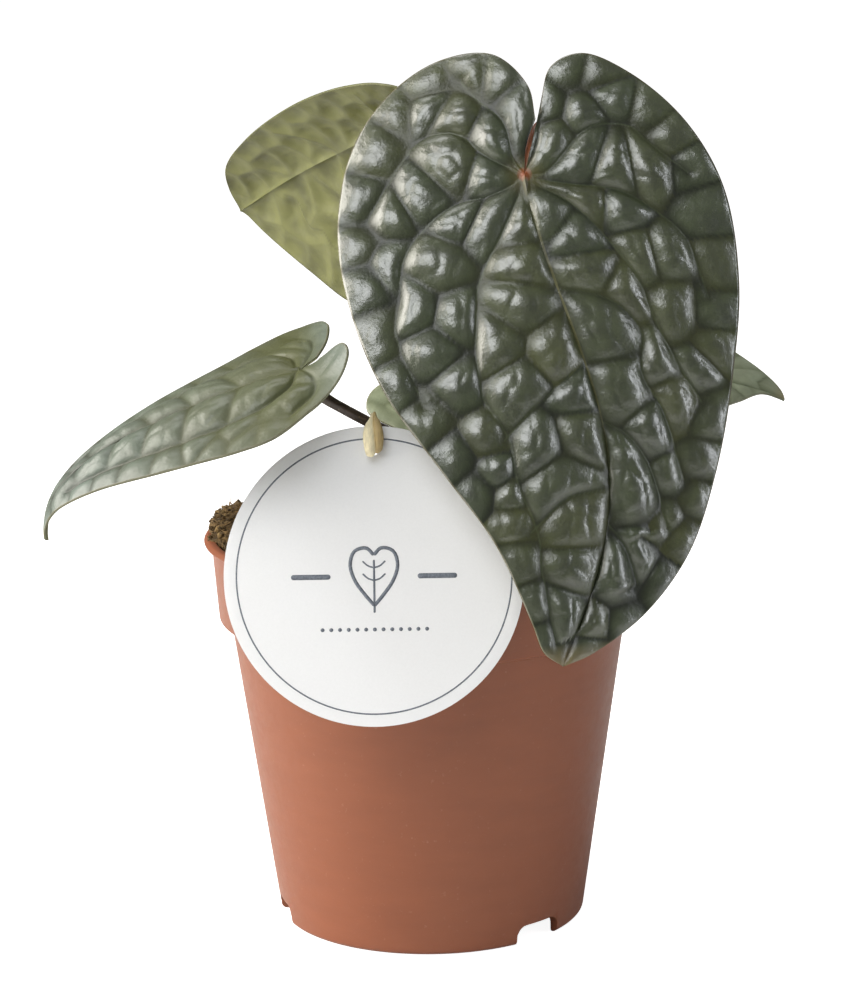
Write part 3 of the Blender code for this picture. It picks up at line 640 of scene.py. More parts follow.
def make_blade(which, settings):
    """Both faces of a blade and its rim, from the two halves' grids.

    The underside follows an eased copy of the upper side, with the veins standing out of it.
    """
    leaf = LEAVES[which]
    random = np.random.default_rng(leaf["seed"])
    half_thick = settings.thickness / MM / 2.0
    patches = []
    for half in ("right", "left"):
        left = half == "left"
        flat, rise, values = blistered(leaf, half, settings, random)
        flat[:, 0] = np.stack([midrib(leaf, flat[:, 0, 1]), flat[:, 0, 1]], axis=-1)
        middle = np.clip(flat[:, 0, 1] / leaf_length(leaf), 0.0, 1.0)
        sunk = leaf["sink"] * np.minimum(1.0, 12.0 * middle * (1.0 - middle))
        rise[:, 0] = (0.2 - 0.45 * middle - sunk) * settings.relief
        veiny = UNDER_VEIN * values["vein"] + UNDER_RIB * values["rib"]
        veiny[:, 0] = UNDER_RIB * (1.0 - middle)
        across = flat[..., 0] + (-1e-9 if left else 1e-9)
        lifts = (rise + half_thick, np.minimum(eased(rise, 8), rise + 0.2) - half_thick - veiny)
        top, under = (blade_points(leaf, across, flat[..., 1], lift) for lift in lifts)
        for face, lift in zip((top, under), lifts):
            face[:, 0] = blade_points(leaf, flat[:, 0, 0], flat[:, 0, 1], lift[:, 0])
            face[-1] = face[-1, 0]
        for value in values.values():
            value[:, 0] = value[:, 1]
        patches.append(lattice(top, left, 0, **values))
        patches.append(lattice(under, not left, 1, **values))
        for line, turned_round in ((np.s_[:, -1], left), (np.s_[0, :], not left)):
            rim = np.stack([top[line], under[line]], axis=1)
            patches.append(lattice(rim, turned_round, 1, **{
                name: np.stack([value[line]] * 2, axis=1) for name, value in values.items()}))
    face, groove_shade_and_mottle, beneath = (getattr(settings, f"{which}_{part}") for part in BLADE_PARTS)
    finishes = [waxy_leaf(which, face, groove_shade_and_mottle), leaf_underside(which, beneath)]
    return shell(f"quilted_blade_{which}", patches, finishes, f"blade_{which}")


def waxy_leaf(which, face, groove_shade_and_mottle):
    """Leathery living leaf with a waxy skin, grown in blisters."""
    # Wax gives small bright patches on the slopes that face a light. The real pores are 0.1 mm
    # apart, and are drawn ten times as coarse so that they show. The grooves are darkened with
    # painted shade; the front leaf's veins are pale, the other leaves' veins get the painted shade
    # too. The front leaf is glossier, with redder veins at its heart.
    front = which == "front"
    made, tree, place, body, tone, vein, rib, edge, along, heart = new_finish(
        f"waxy_leaf_{which}", "body", "tone", "vein", "rib", "edge", "along", "heart")
    mottle, fine, lumps = (
        add(tree, "TexNoise", {"Vector": place, "Scale": PER_MM / size, "Detail": detail})
        for size, detail in ((5.0, 3.0), (0.45, 2.0), (2.6, 3.0)))
    pores = add(tree, "TexVoronoi", {"Vector": place, "Scale": PER_MM / 1.0})
    tint = (1.7, 1.4, 0.9) if front else (1.25, 1.3, 1.3)
    other = tuple(value * share for value, share in zip(face, tint))
    # Toward the grooves the colour runs into painted shade; the random mottle takes the same dark
    # tone.
    colour = washed(tree, face, (body, 0.0, 0.45 if front else 0.65, 1.0, 0.0, groove_shade_and_mottle),
                    (tone, 0.3, 1.0, 0.0, 0.5, other), (mottle, 0.35, 0.7, 0.0, 0.45, groove_shade_and_mottle))
    if front:
        colour = washed(tree, colour, (vein, 0.5, 1.0, 0.0, 0.35, shaded(face, 1.7, 0.01)),
                        (rib, 0.3, 0.9, 0.0, 0.75, linear("#98925e")),
                        (heart, 0.1, 1.0, 0.0, 0.55, linear("#5a5424")),
                        (heart, 0.8, 1.0, 0.0, 0.85, linear("#853f1e")))
    else:
        # On these leaves the veins and the midrib get the painted groove shade as well.
        colour = washed(tree, colour, (vein, 0.2, 1.0, 0.0, 0.6, groove_shade_and_mottle),
                        (rib, 0.1, 0.6, 0.0, 0.7, groove_shade_and_mottle))
    if which == "left":
        colour = washed(tree, colour, (along, 0.05, 0.75, 0.9, 0.0, linear("#474a24")),
                        (along, -0.12, 0.0, 0.8, 0.0, face))
    colour = washed(tree, colour, (edge, 0.6, 1.0, 0.0, 0.6, linear("#6f6650")),
                    (along, 0.955, 1.0, 0.0, 0.7, linear("#857650")))
    grain = add(tree, "Math", {0: pores, 1: fine}, operation="MULTIPLY")
    depth = add(tree, "Math", {0: lumps, 1: 1.1, 2: grain}, operation="MULTIPLY_ADD")
    bump = add(tree, "Bump", {"Height": depth, "Strength": 0.7, "Distance": 0.0001})
    smooth, dull = (0.34, 0.46) if front else (0.42, 0.55)
    rough = add(tree, "MapRange", {0: fine, 1: 0.3, 2: 0.7, 3: smooth, 4: dull})
    wax = add(tree, "MapRange", {0: body, 1: 0.2, 2: 0.7, 3: 0.1, 4: 1.0 if front else 0.4})
    return finished(made, base_color=colour, roughness=rough, normal=bump, coat_normal=bump,
                    coat_weight=wax, coat_roughness=0.27, coat_ior=1.85 if front else 1.6,
                    specular_ior_level=0.4 if front else 0.5)


def leaf_underside(which, colour):
    """The dull underside of a living leaf."""
    # No wax, so light spreads in a soft sheen. The grooves are darkened with painted shade; main
    # veins are darker, the midrib pale.
    made, tree, place, groove, vein, rib, edge = new_finish(
        f"leaf_underside_{which}", "groove", "vein", "rib", "edge")
    dark, pale = shaded(colour, 0.52), shaded(colour, 1.3, 0.02)
    mottle, fine = (
        add(tree, "TexNoise", {"Vector": place, "Scale": PER_MM / size, "Detail": 3.0})
        for size in (7.0, 0.8))
    # Toward the grooves the colour runs into painted shade.
    shade = washed(tree, colour, (mottle, 0.42, 0.75, 0.0, 1.0, dark),
                   (groove, 0.3, 1.0, 0.0, 0.35, dark), (vein, 0.3, 1.0, 0.0, 0.5, dark),
                   (rib, 0.0, 1.0, 0.0, 0.2, pale), (edge, 0.5, 1.0, 0.0, 0.6, dark))
    bump = add(tree, "Bump", {"Height": fine, "Strength": 0.5, "Distance": 0.0001})
    return finished(made, base_color=shade, roughness=0.5, coat_weight=0.1, coat_roughness=0.35,
                    normal=bump)


# The stalks

CROWN_TOP = 107.5
STALK_START = CROWN_TOP + 0.3
STALK_RISE = STALK_START + 3.0
STALK_SIDES = 22
STALK_RIDGES = 5
RIDGE_SHARE = 0.035          # how far the ridges swell a stalk, as a share of its radius
RIDGE_TWIST = 1.4            # how far the ridges wind round it from end to end, in radians
STALKS = {
    "front": [(2.4, -2.4, STALK_START), (2.4, -2.4, STALK_RISE), (7, -15, 122), (11, -20.5, 134),
              (20, -22.5, 165), (29, -20.5, 196), (32, -20.5, 211), (31.4, -23.5, 217.5),
              (29.6, -27.5, 217), (27.6, -32.5, 211.5), (26.2, -36.0, 206.0)],
    "left": [(-2.4, -2.4, STALK_START), (-2.5, -3.2, STALK_RISE), (-3.2, -12, 116),
             (-4.6, -30, 131), (-7.6, -42.6, 140.6), (-13.6, -47, 145), (-20.5, -48.8, 149.3),
             (-25, -49.4, 152.2), (-29.4, -48.6, 155.7), (-31.3, -47.8, 158.6)],
    "right": [(2.4, 2.4, STALK_START), (2.4, 2.6, STALK_RISE), (3, 8, 122), (6, 16, 134),
              (7.4, 18.4, 140), (7.4, 15.8, 144.8)],
    "back": [(-2.4, 2.4, STALK_START), (-2.4, 2.2, STALK_RISE), (-2.3, -6, 120), (-2, -14, 134),
             (-4, -16, 150), (-9, -13, 175), (-14, -8, 198), (-14.3, -4.8, 208.5),
             (-10.5, -0.95, 213.3)],
}


def stalk_grid(path, radii):
    """A round bar: circles of the given radii on planes square to the path, closed at both ends.

    The planes' axes are carried from point to point without turning about the path. Ridges swell
    the circle by a cosine of STALK_RIDGES waves round it.
    """
    ahead = unit(np.gradient(path, axis=0))
    side = np.empty_like(path)
    side[0] = np.cross(ahead[0], (0.0, 1.0, 0.0) if abs(ahead[0][1]) < 0.8 else RIGHT)
    for k in range(1, len(path)):
        side[k] = side[k - 1] - ahead[k] * (side[k - 1] @ ahead[k])
    side = unit(side)
    way = full_turn(STALK_SIDES + 1)[None, :]
    wound = RIDGE_TWIST * np.linspace(0.0, 1.0, len(path))[:, None]
    girth = radii[:, None] * (1.0 + RIDGE_SHARE * np.cos(STALK_RIDGES * (way + wound)))
    foot, top = (np.broadcast_to(end, (1, STALK_SIDES + 1, 3)) for end in (path[0], path[-1]))
    return np.concatenate([foot, hoops(path, side, np.cross(ahead, side), girth, way), top])


def make_stalk(which, settings):
    """A stalk: its radius shrinks by the root of its run, with a soft knee below the blade."""
    path = evenly(smooth_line(STALKS[which], 16), 150)
    run = run_lengths(path)
    share = run / run[-1]
    foot, top = settings.foot_radius / MM, settings.top_radius / MM
    knee = 0.13 * np.exp(-((run[-1] - run - 7.0) / 3.5)**2)
    lump = 0.03 * waves(np.stack([run, 0.0 * run], axis=1), 9.0, 4)
    radii = (foot + (top - foot) * np.sqrt(share)) * (1.0 + knee + lump)
    values = {"share": np.concatenate([[0.0], share, [1.0]])[:, None],
              "sheath": np.concatenate([[1.0], np.exp(-run / 5.0), [0.0]])[:, None]}
    if which == "front":
        kind, finish = "red", stalk_skin("red", settings.red)
    else:
        kind, finish = "dark", stalk_skin(which, settings.dark)
    return shell(f"leaf_stalk_{which}", [lattice(stalk_grid(path, radii), True, 0, **values)],
                 [finish], f"petiole_{which}")


def stalk_skin(which, colour):
    """Smooth fleshy leaf stalk."""
    # A tight, slightly shiny skin; tiny pale dots and long streaks keep it from looking like wire.
    made, tree, place, share, sheath = new_finish(f"stalk_skin_{which}", "share", "sheath")
    streak, fine = (
        add(tree, "TexNoise", {"Vector": place, "Scale": PER_MM / size, "Detail": 3.0})
        for size in (2.4, 0.7))
    dots = add(tree, "TexVoronoi", {"Vector": place, "Scale": PER_MM / 1.4})
    knee = linear("#a5602e" if which == "red" else "#5a4a2c")
    shade = washed(tree, colour, (streak, 0.35, 0.72, 0.0, 1.0, shaded(colour, 1.9, 0.015)),
                   (dots, 0.0, 0.18, 0.6, 0.0, linear("#9a8a62")),
                   (share, 0.86, 1.0, 0.0, 0.45, knee),
                   (sheath, 0.0, 1.0, 0.0, 1.0, linear("#6a5836")))
    bump = add(tree, "Bump", {"Height": fine, "Strength": 0.5, "Distance": 0.00008})
    return finished(made, base_color=shade, roughness=0.42, coat_weight=0.15, coat_roughness=0.3,
                    normal=bump)


def make_crown():
    """The short stem: turned, its radius swelling in rings and split into five leaf bases."""
    profile = [(0.0, CROWN_TOP), (4.6, 107.4), (6.0, 105.4), (6.4, 100.5), (6.5, 88.0), (0.0, 88.0)]
    line = evenly(rounded(profile, 1.4, 4), 90)
    way = full_turn(97)
    radius, height = line[:, :1], line[:, 1:]
    folds = -0.07 * np.abs(np.cos(2.5 * way + 0.4))**6 - 0.03 * np.cos(17.0 * way)**2
    rings = 0.03 * (np.sin(height * 2.1 + 0.8 * np.sin(way[None, :] * 2)) - 1.0)
    radius = radius * (1.0 + (folds[None, :] + rings) * np.clip((107.6 - height) / 2.0, 0.0, 1.0))
    points = polar(radius, way, height)
    points[:, -1] = points[:, 0]
    return shell("stem_crown", [lattice(points, True)], [papery_sheath()], "crown")


def papery_sheath():
    """Dry papery sheaths over a stub of stem."""
    # Brown, dull and streaked along the stem, like thin bark.
    made, tree, place = new_finish("papery_sheath")
    streak = add(tree, "TexNoise", {"Vector": place, "Scale": PER_MM / 1.6, "Detail": 4.0})
    shade = washed(tree, linear("#3f3320"), (streak, 0.3, 0.7, 0.0, 1.0, linear("#8a7850")))
    bump = add(tree, "Bump", {"Height": streak, "Strength": 0.8, "Distance": 0.0003})
    return finished(made, base_color=shade, roughness=0.75, normal=bump)


# The pot

POT_WALL = 1.2
FLOOR_RISE = 5.6
FLOOR_TOP = 7.2
FOOT_RADIUS = 41.5           # outside, where the body's wall meets the foot's edge
BODY_FLARE = 11.8            # how much wider the body is under the collar
COLLAR_FOOT = 83.2
NOTCH_ANGLES = (43.0, 163.0, 283.0)      # round from the front, towards +X
NOTCH_WIDTH = 15.0
NOTCH_HEIGHT = 5.2
NOTCH_CORNER = 3.0
DRAIN_HOLES = 6
DRAIN_SIDES = 20
DRAIN_RADIUS = 3.0
DRAIN_RING_RADIUS = 22.0
DRAIN_START = 27.0


def notch_rise(way):
    """How high the foot's edge is cut at an angle: a rounded arch in each notch, else 0."""
    rise = np.zeros_like(way)
    for notch in NOTCH_ANGLES:
        turned = (way - math.radians(notch - 90.0) + math.pi) % TURN - math.pi
        off = np.abs(turned) * FOOT_RADIUS
        inner = np.clip((NOTCH_WIDTH / 2.0 - off) / NOTCH_CORNER, 0.0, 1.0)
        arc = 1.0 - np.sqrt(np.clip(1.0 - (1.0 - inner)**2, 0.0, 1.0))
        rise = np.where(off < NOTCH_WIDTH / 2.0, NOTCH_HEIGHT - NOTCH_CORNER * arc, rise)
    return rise


def make_pot(settings):
    """The pot: a rounded profile turned about its axis, its foot lifted in the notches."""
    lip, height = settings.lip_radius / MM, settings.height / MM
    inner_foot = FOOT_RADIUS + BODY_FLARE * FLOOR_TOP / COLLAR_FOOT - POT_WALL
    profile = [
        (0.0, 1.6), (11.0, 1.6), (14.0, FLOOR_TOP), (inner_foot, FLOOR_TOP), (52.1, 84.4),
        (55.2, 85.0), (56.8, height - 1.0), (57.4, height), (lip - 0.9, height),
        (lip, height - 1.0), (lip, height - 1.4), (lip - 0.7, height - 2.0),
        (58.0, height - 2.0), (56.4, 83.7), (55.8, COLLAR_FOOT), (53.3, COLLAR_FOOT),
        (FOOT_RADIUS, 0.8), (40.7, 0.0), (39.5, 0.0), (39.5, FLOOR_RISE), (14.0, FLOOR_RISE),
        (11.0, 0.0), (0.0, 0.0),
    ]
    line = rounded(profile, 0.7, 5)
    # The wall gets more rows just above the foot, so that the notches' edges are clean.
    foot_share = np.linspace(0.02, 1.0, 14)[:, None]**1.6
    last = int(np.argmax((line[:, 0] < 42.0) & (line[:, 0] > 41.0) & (line[:, 1] < 3.0)))
    wall = line[last] + (line[last - 1] - line[last]) * foot_share[:-1]
    line = np.vstack([line[:last], wall[::-1], line[last:]])
    ways = np.linspace(0.0, 360.0, settings.sides + 1)
    edge = math.degrees(NOTCH_WIDTH / 2.0 / FOOT_RADIUS)
    for notch in NOTCH_ANGLES:
        ways = np.append(ways, [notch - 90.0 + hand * (edge + off) for hand in (-1, 1)
                                for off in (-0.02, 0.02, -0.15, -0.6, -1.2, -2.0, -3.0)])
    ways = np.unique(np.round(ways % 360.0, 5))
    ways = np.radians(np.append(ways, ways[0] + 360.0))
    points = polar(line[:, :1], ways, line[:, 1:])
    foot = np.hypot(points[..., 0], points[..., 1]) > 38.0
    lifted = np.maximum(points[..., 2], notch_rise(ways)[None, :])
    points[..., 2] = np.where(foot, lifted, points[..., 2])
    points[:, -1] = points[:, 0]
    made = shell("nursery_pot", [lattice(points, True)], [moulded_plastic(settings.colour)],
                 "pot", 40.0)

    # The drain holes are cut by short round bars.
    around = np.radians(DRAIN_START + 60.0 * np.arange(DRAIN_HOLES))[:, None]
    ring = np.linspace(0.0, TURN, DRAIN_SIDES, endpoint=False)[None, :]
    holes = polar(DRAIN_RING_RADIUS, around, 6.4) + polar(DRAIN_RADIUS, ring, 0.0)
    holes = np.concatenate([holes + (0.0, 0.0, -3.0), holes + (0.0, 0.0, 3.0)], axis=1)
    faces = []
    for hole in range(DRAIN_HOLES):
        low = 2 * DRAIN_SIDES * hole + np.arange(DRAIN_SIDES)
        faces += np.stack([low, np.roll(low, -1), np.roll(low, -1) + DRAIN_SIDES,
                           low + DRAIN_SIDES], axis=1).tolist()
        faces += [low[::-1].tolist(), (low + DRAIN_SIDES).tolist()]
    drill = bpy.data.meshes.new("drain_drill")
    drill.from_pydata(holes.reshape(-1, 3) * MM, [], faces)
    cutter = placed("drain_drill", drill)
    cut = made.modifiers.new("drain_holes", "BOOLEAN")
    cut.object, cut.operation = cutter, "DIFFERENCE"
    bpy.context.view_layer.update()
    shape = made.evaluated_get(bpy.context.evaluated_depsgraph_get())
    drilled = bpy.data.meshes.new_from_object(shape)
    made.modifiers.remove(cut)
    made.data = drilled
    bpy.data.objects.remove(cutter)
    return made


def moulded_plastic(colour):
    """Polypropylene, pressed thin: the satin skin of a nursery pot."""
    # Satin, so the light from one side falls off softly round it. Faint flow streaks up the wall,
    # pale dust specks and fine scuffs keep the colour from being flat. The mould's grain is
    # about 0.1 mm, and is drawn five times as coarse so that they show.
    made, tree, place = new_finish("pressed_polypropylene")
    level = add(tree, "Mapping", {"Vector": place, "Scale": (0.25, 0.25, 1.0)})
    flow = add(tree, "TexNoise", {"Vector": level, "Scale": PER_MM / 4.0, "Detail": 5.0})
    cloud, skin, dust = (
        add(tree, "TexNoise", {"Vector": place, "Scale": PER_MM / size, "Detail": detail})
        for size, detail in ((26.0, 2.0), (0.5, 2.0), (1.2, 5.0)))
    scuff = add(tree, "TexNoise", {"Vector": place, "Scale": PER_MM / 3.0, "Detail": 6.0,
                                   "Roughness": 0.7})
    shade = washed(tree, shaded(colour, 0.95), (flow, 0.3, 0.7, 0.0, 1.0, shaded(colour, 1.04)),
                   (cloud, 0.35, 0.7, 0.0, 0.35, shaded(colour, 0.95)),
                   (dust, 0.66, 0.78, 0.0, 0.14, linear("#c9a68e")))
    rough = add(tree, "MapRange", {0: scuff, 1: 0.3, 2: 0.75, 3: 0.36, 4: 0.48})
    bump = add(tree, "Bump", {"Height": skin, "Strength": 0.35, "Distance": 0.00005})
    return finished(made, base_color=shade, roughness=rough, ior=1.49, specular_ior_level=0.55,
                    normal=bump)


# The soil

HEAP_WAY = math.radians(168.0)           # the heap is on the left
WELL_RADIUS = 6.9                        # the crown stands in a well of this radius


def soil_top(x, y):
    """The soil's height: level, heaped on the left, with clods from crossed waves."""
    away = np.hypot(x + 50.0, y - 12.0)
    heap = 7.8 * np.exp(-(away / 30.0)**2)
    clods = (np.sin(x / 3.1 + 1.3) * np.cos(y / 3.7 - 0.4)
             + 0.6 * np.sin((x + y) / 2.3) * np.cos((x - y) / 2.9))
    from_crown = np.clip((np.hypot(x, y) - 13.0) / 8.0, 0.0, 1.0)
    return 101.5 + heap + 0.8 * clods * from_crown


def soil_body(way):
    """The filling's closed grid, and how far out its edge is at each angle.

    The top is a fine polar grid. On the left its edge spills over the lip: the outer radius grows
    where the heap stands above it.
    """
    rings = np.linspace(0.0, 1.0, 84)[:, None]
    spill = np.exp(-(((way - HEAP_WAY + math.pi) % TURN - math.pi) / 0.5)**4)
    over = np.clip((spill - 0.5) / 0.3, 0.0, 1.0)
    over = over * over * (3 - 2 * over)
    reach = 56.2 + over * (2.4 + 0.5 * np.sin(way * 31.0))
    radius = WELL_RADIUS + (reach - WELL_RADIUS) * rings
    x, y = radius * np.cos(way), radius * np.sin(way)
    place = np.stack([x, y], axis=-1)
    rough = (1.1 * (pebbles(place, 3.4, 5) - 0.4) + 0.5 * pebbles(place, 1.5, 9)
             + 0.9 * waves(place, 7.0, 2))
    rough *= np.clip((radius - 7.0) / 6.0, 0.15, 1.0)
    height = np.minimum(soil_top(x, y) + 0.6 * rough, 111.2)
    low_edge = np.where(spill > 0.3, 106.25, 99.5)
    height[-1] = np.maximum(low_edge + 0.02, height[-1] - 1.4)
    well = [(0.0, 87.7), (6.8, 87.7)]
    under = [(reach, low_edge), (np.minimum(reach, 55.9), low_edge), (55.0, 86.0), (51.6, 85.2),
             (41.1, 7.5), (13.7, 7.5), (10.7, 1.9), (0.0, 1.9)]
    grid = np.concatenate([polar(far, way, low)[None] for far, low in well]
                          + [np.stack([x, y, height], axis=-1)]
                          + [polar(far, way, low)[None] for far, low in under])
    grid[:, -1] = grid[:, 0]
    return grid, reach


def strewn(random, count, heaped, spread, edge, back, inner, outer):
    """Random places on the soil, as angles and distances, a share of them crowded on the heap.

    edge gives the soil's edge at an angle. Those on the heap lie back from it, and the others
    evenly over a ring that starts at inner and is as wide as the edge less outer.
    """
    heap = random.uniform(size=count) < heaped
    angle = np.where(heap, HEAP_WAY + random.normal(0.0, spread, count),
                     random.uniform(0.0, TURN, count))
    limit = edge(angle)
    far = np.where(heap, limit - np.abs(random.normal(0.0, back, count)),
                   inner + (limit - outer) * np.sqrt(random.uniform(size=count)))
    return angle, far, limit


def repeated(points, faces, finish, shade):
    """A patch of many like meshes: the points of each, the faces of one, and each one's shade."""
    count, corners = points.shape[:2]
    return {"points": points.reshape(-1, 3), "finish": finish,
            "values": {"shade": np.repeat(shade, corners)},
            "faces": (faces[None] + corners * np.arange(count)[:, None, None]).reshape(-1, 3)}


def soil_crumbs(random, count, edge):
    """Crumbs: icosahedra with uneven corners, sunk by over a third of their height."""
    gold = (1.0 + math.sqrt(5.0)) / 2.0
    corners = np.array([(-1, gold, 0), (1, gold, 0), (-1, -gold, 0), (1, -gold, 0), (0, -1, gold),
                        (0, 1, gold), (0, -1, -gold), (0, 1, -gold), (gold, 0, -1), (gold, 0, 1),
                        (-gold, 0, -1), (-gold, 0, 1)]) / 1.9
    faces = np.array([(0, 11, 5), (0, 5, 1), (0, 1, 7), (0, 7, 10), (0, 10, 11), (1, 5, 9),
                      (5, 11, 4), (11, 10, 2), (10, 7, 6), (7, 1, 8), (3, 9, 4), (3, 4, 2),
                      (3, 2, 6), (3, 6, 8), (3, 8, 9), (4, 9, 5), (2, 4, 11), (6, 2, 10),
                      (8, 6, 7), (9, 8, 1)])
    angle, far, limit = strewn(random, count, 0.4, 0.42, edge, 9.0, 8.0, 9.0)
    far = np.clip(far, 8.0, limit - 0.4)
    x, y = far * np.cos(angle), far * np.sin(angle)
    size = np.exp(random.normal(-0.55, 0.42, count)).clip(0.3, 1.6)
    corner = corners[None] * random.uniform(0.65, 1.25, (count, 12, 1)) * size[:, None, None]
    corner = corner * random.uniform(0.7, 1.2, (count, 1, 3))
    middle = np.stack([x, y, soil_top(x, y) + 0.25 * size], axis=-1)
    return repeated(corner + middle[:, None], faces, 0, random.uniform(0.0, 1.0, count))


def soil_fibres(random, count, edge):
    """Fibres: thin bars on curved paths over the soil, each with its own bend and lift."""
    angle, far, _ = strewn(random, count, 0.45, 0.4, lambda way: 56.5, 8.0, 9.0, 12.5)
    aim = random.uniform(0.0, TURN, count)
    long = random.uniform(3.0, 12.0, count)[:, None]
    bend = random.uniform(-1.6, 1.6, count)
    lift = np.abs(random.normal(0.0, 0.9, count))
    t = np.linspace(-0.5, 0.5, 8)
    heading = aim[:, None] + bend[:, None] * t[None]
    x = (far * np.cos(angle))[:, None] + long * np.cumsum(np.cos(heading), axis=1) / 8.0
    y = (far * np.sin(angle))[:, None] + long * np.cumsum(np.sin(heading), axis=1) / 8.0
    pull = np.minimum(1.0, edge(np.arctan2(y, x)) / np.hypot(x, y))
    x, y = x * pull, y * pull
    path = np.stack([x, y, soil_top(x, y) + 0.5 + lift[:, None] * (2.0 * t[None])**2], axis=-1)
    thick = random.uniform(0.07, 0.14, count)[:, None] * (1.0 - 0.7 * np.abs(2.0 * t[None])**2)
    across = np.stack([-np.sin(heading), np.cos(heading), 0.0 * heading], axis=-1)
    tubes = hoops(path, across, UP, thick[..., None], full_turn(5))
    ends = np.broadcast_to(path[:, :, None], tubes.shape)
    tubes = np.concatenate([ends[:, :1], tubes, ends[:, -1:]], axis=1)
    tubes[:, :, -1] = tubes[:, :, 0]
    return repeated(tubes.reshape(count, -1, 3), lattice(tubes[0])["faces"], 1,
                    random.uniform(0.0, 1.0, count))


def make_soil(settings):
    """The filling, with crumbs of soil and coir fibres strewn on it."""
    random = np.random.default_rng(21)
    way = full_turn(301)
    grid, reach = soil_body(way)

    def edge(angle):
        return np.interp(angle % TURN, way, reach)

    patches = [lattice(grid, shade=0.5), soil_crumbs(random, settings.crumbs, edge),
               soil_fibres(random, settings.fibres, edge)]
    return shell("potting_soil", patches, [peat(settings), coir()], "soil", 55.0)


def peat(settings):
    """Moist peat and coir dust."""
    # Dull and dark, with lighter dry crumbs; nothing on it shines.
    made, tree, place, crumb = new_finish("moist_peat", "shade")
    damp, dry, rough = (
        add(tree, "TexNoise", {"Vector": place, "Scale": PER_MM / size, "Detail": 5.0,
                               "Roughness": 0.7})
        for size in (1.3, 6.0, 0.8))
    shade = washed(tree, settings.dark, (crumb, 0.3, 1.0, 0.0, 1.0, settings.dry),
                   (damp, 0.42, 0.66, 0.0, 1.0, linear("#2a1f12")),
                   (dry, 0.5, 0.75, 0.0, 0.6, linear("#7a6238")))
    bump = add(tree, "Bump", {"Height": rough, "Strength": 1.0, "Distance": 0.0005})
    return finished(made, base_color=shade, roughness=0.95, normal=bump)


def coir():
    """Coconut fibre, combed out of the husk."""
    # Hair-thin, golden brown strands that catch a little light against the dark soil.
    made, tree, _, strand = new_finish("combed_coir", "shade")
    shade = washed(tree, linear("#4a3618"), (strand, 0.0, 1.0, 0.0, 1.0, linear("#8f7040")))
    return finished(made, base_color=shade, roughness=0.7)


# The tag and its tie

TAG_CENTRE = np.array((-13.5, -59.7, 108.3))
TAG_LEAN = math.radians(13.0)
CARD_UP = np.array((0.0, math.sin(TAG_LEAN), math.cos(TAG_LEAN)))
CARD_OUT = np.array((0.0, -math.cos(TAG_LEAN), math.sin(TAG_LEAN)))
CARD_FACE = 0.35             # from the card's middle sheet to its face
TAG_HOLE_RADIUS = 1.9
TAG_HOLE_INSET = 5.6
INK_RAISED = 0.03


def on_card(x, y, off):
    """Card coordinates to the frame: x to the right, y up the leaning card, off its middle."""
    x, y, off = np.broadcast_arrays(x, y, off)
    return TAG_CENTRE + x[..., None] * RIGHT + y[..., None] * CARD_UP + off[..., None] * CARD_OUT


def inked(path, width, closed=False):
    """A printed line: a thin bar of rectangular section, proud of the card, along a flat path.

    An open line's half width follows a circle at each end.
    """
    if closed:
        path = np.vstack([path, path[:1]])
        ahead = np.roll(path[:-1], -1, axis=0) - np.roll(path[:-1], 1, axis=0)
        ahead = np.vstack([ahead, ahead[:1]])
        half = np.full(len(path), width / 2.0)
    else:
        line, run = path, run_lengths(path)
        share = (1.0 - np.cos(np.linspace(0.0, math.pi, 33))) / 2.0
        cap = width / 2.0 * share[:17] * 2.0
        steps = np.sort(np.concatenate([share * run[-1], cap, run[-1] - cap])[1:])
        path = sampled(steps, run, line)
        ahead = sampled(steps + 0.01, run, line) - sampled(steps - 0.01, run, line)
        from_end = np.minimum(1.0, np.minimum(steps, run[-1] - steps) / (width / 2.0))
        half = width / 2.0 * np.sqrt(np.clip(1.0 - (1.0 - from_end)**2, 0.0, 1.0))
    ahead = unit(ahead)
    across = np.stack([-ahead[:, 1], ahead[:, 0]], axis=1)
    left, right = path + across * half[:, None], path - across * half[:, None]
    low, high = CARD_FACE - 0.05, CARD_FACE + INK_RAISED
    corners = ((left, low), (left, high), (right, high), (right, low), (left, low))
    edges = [on_card(line[:, 0], line[:, 1], off) for line, off in corners]
    return lattice(np.stack(edges, axis=1))


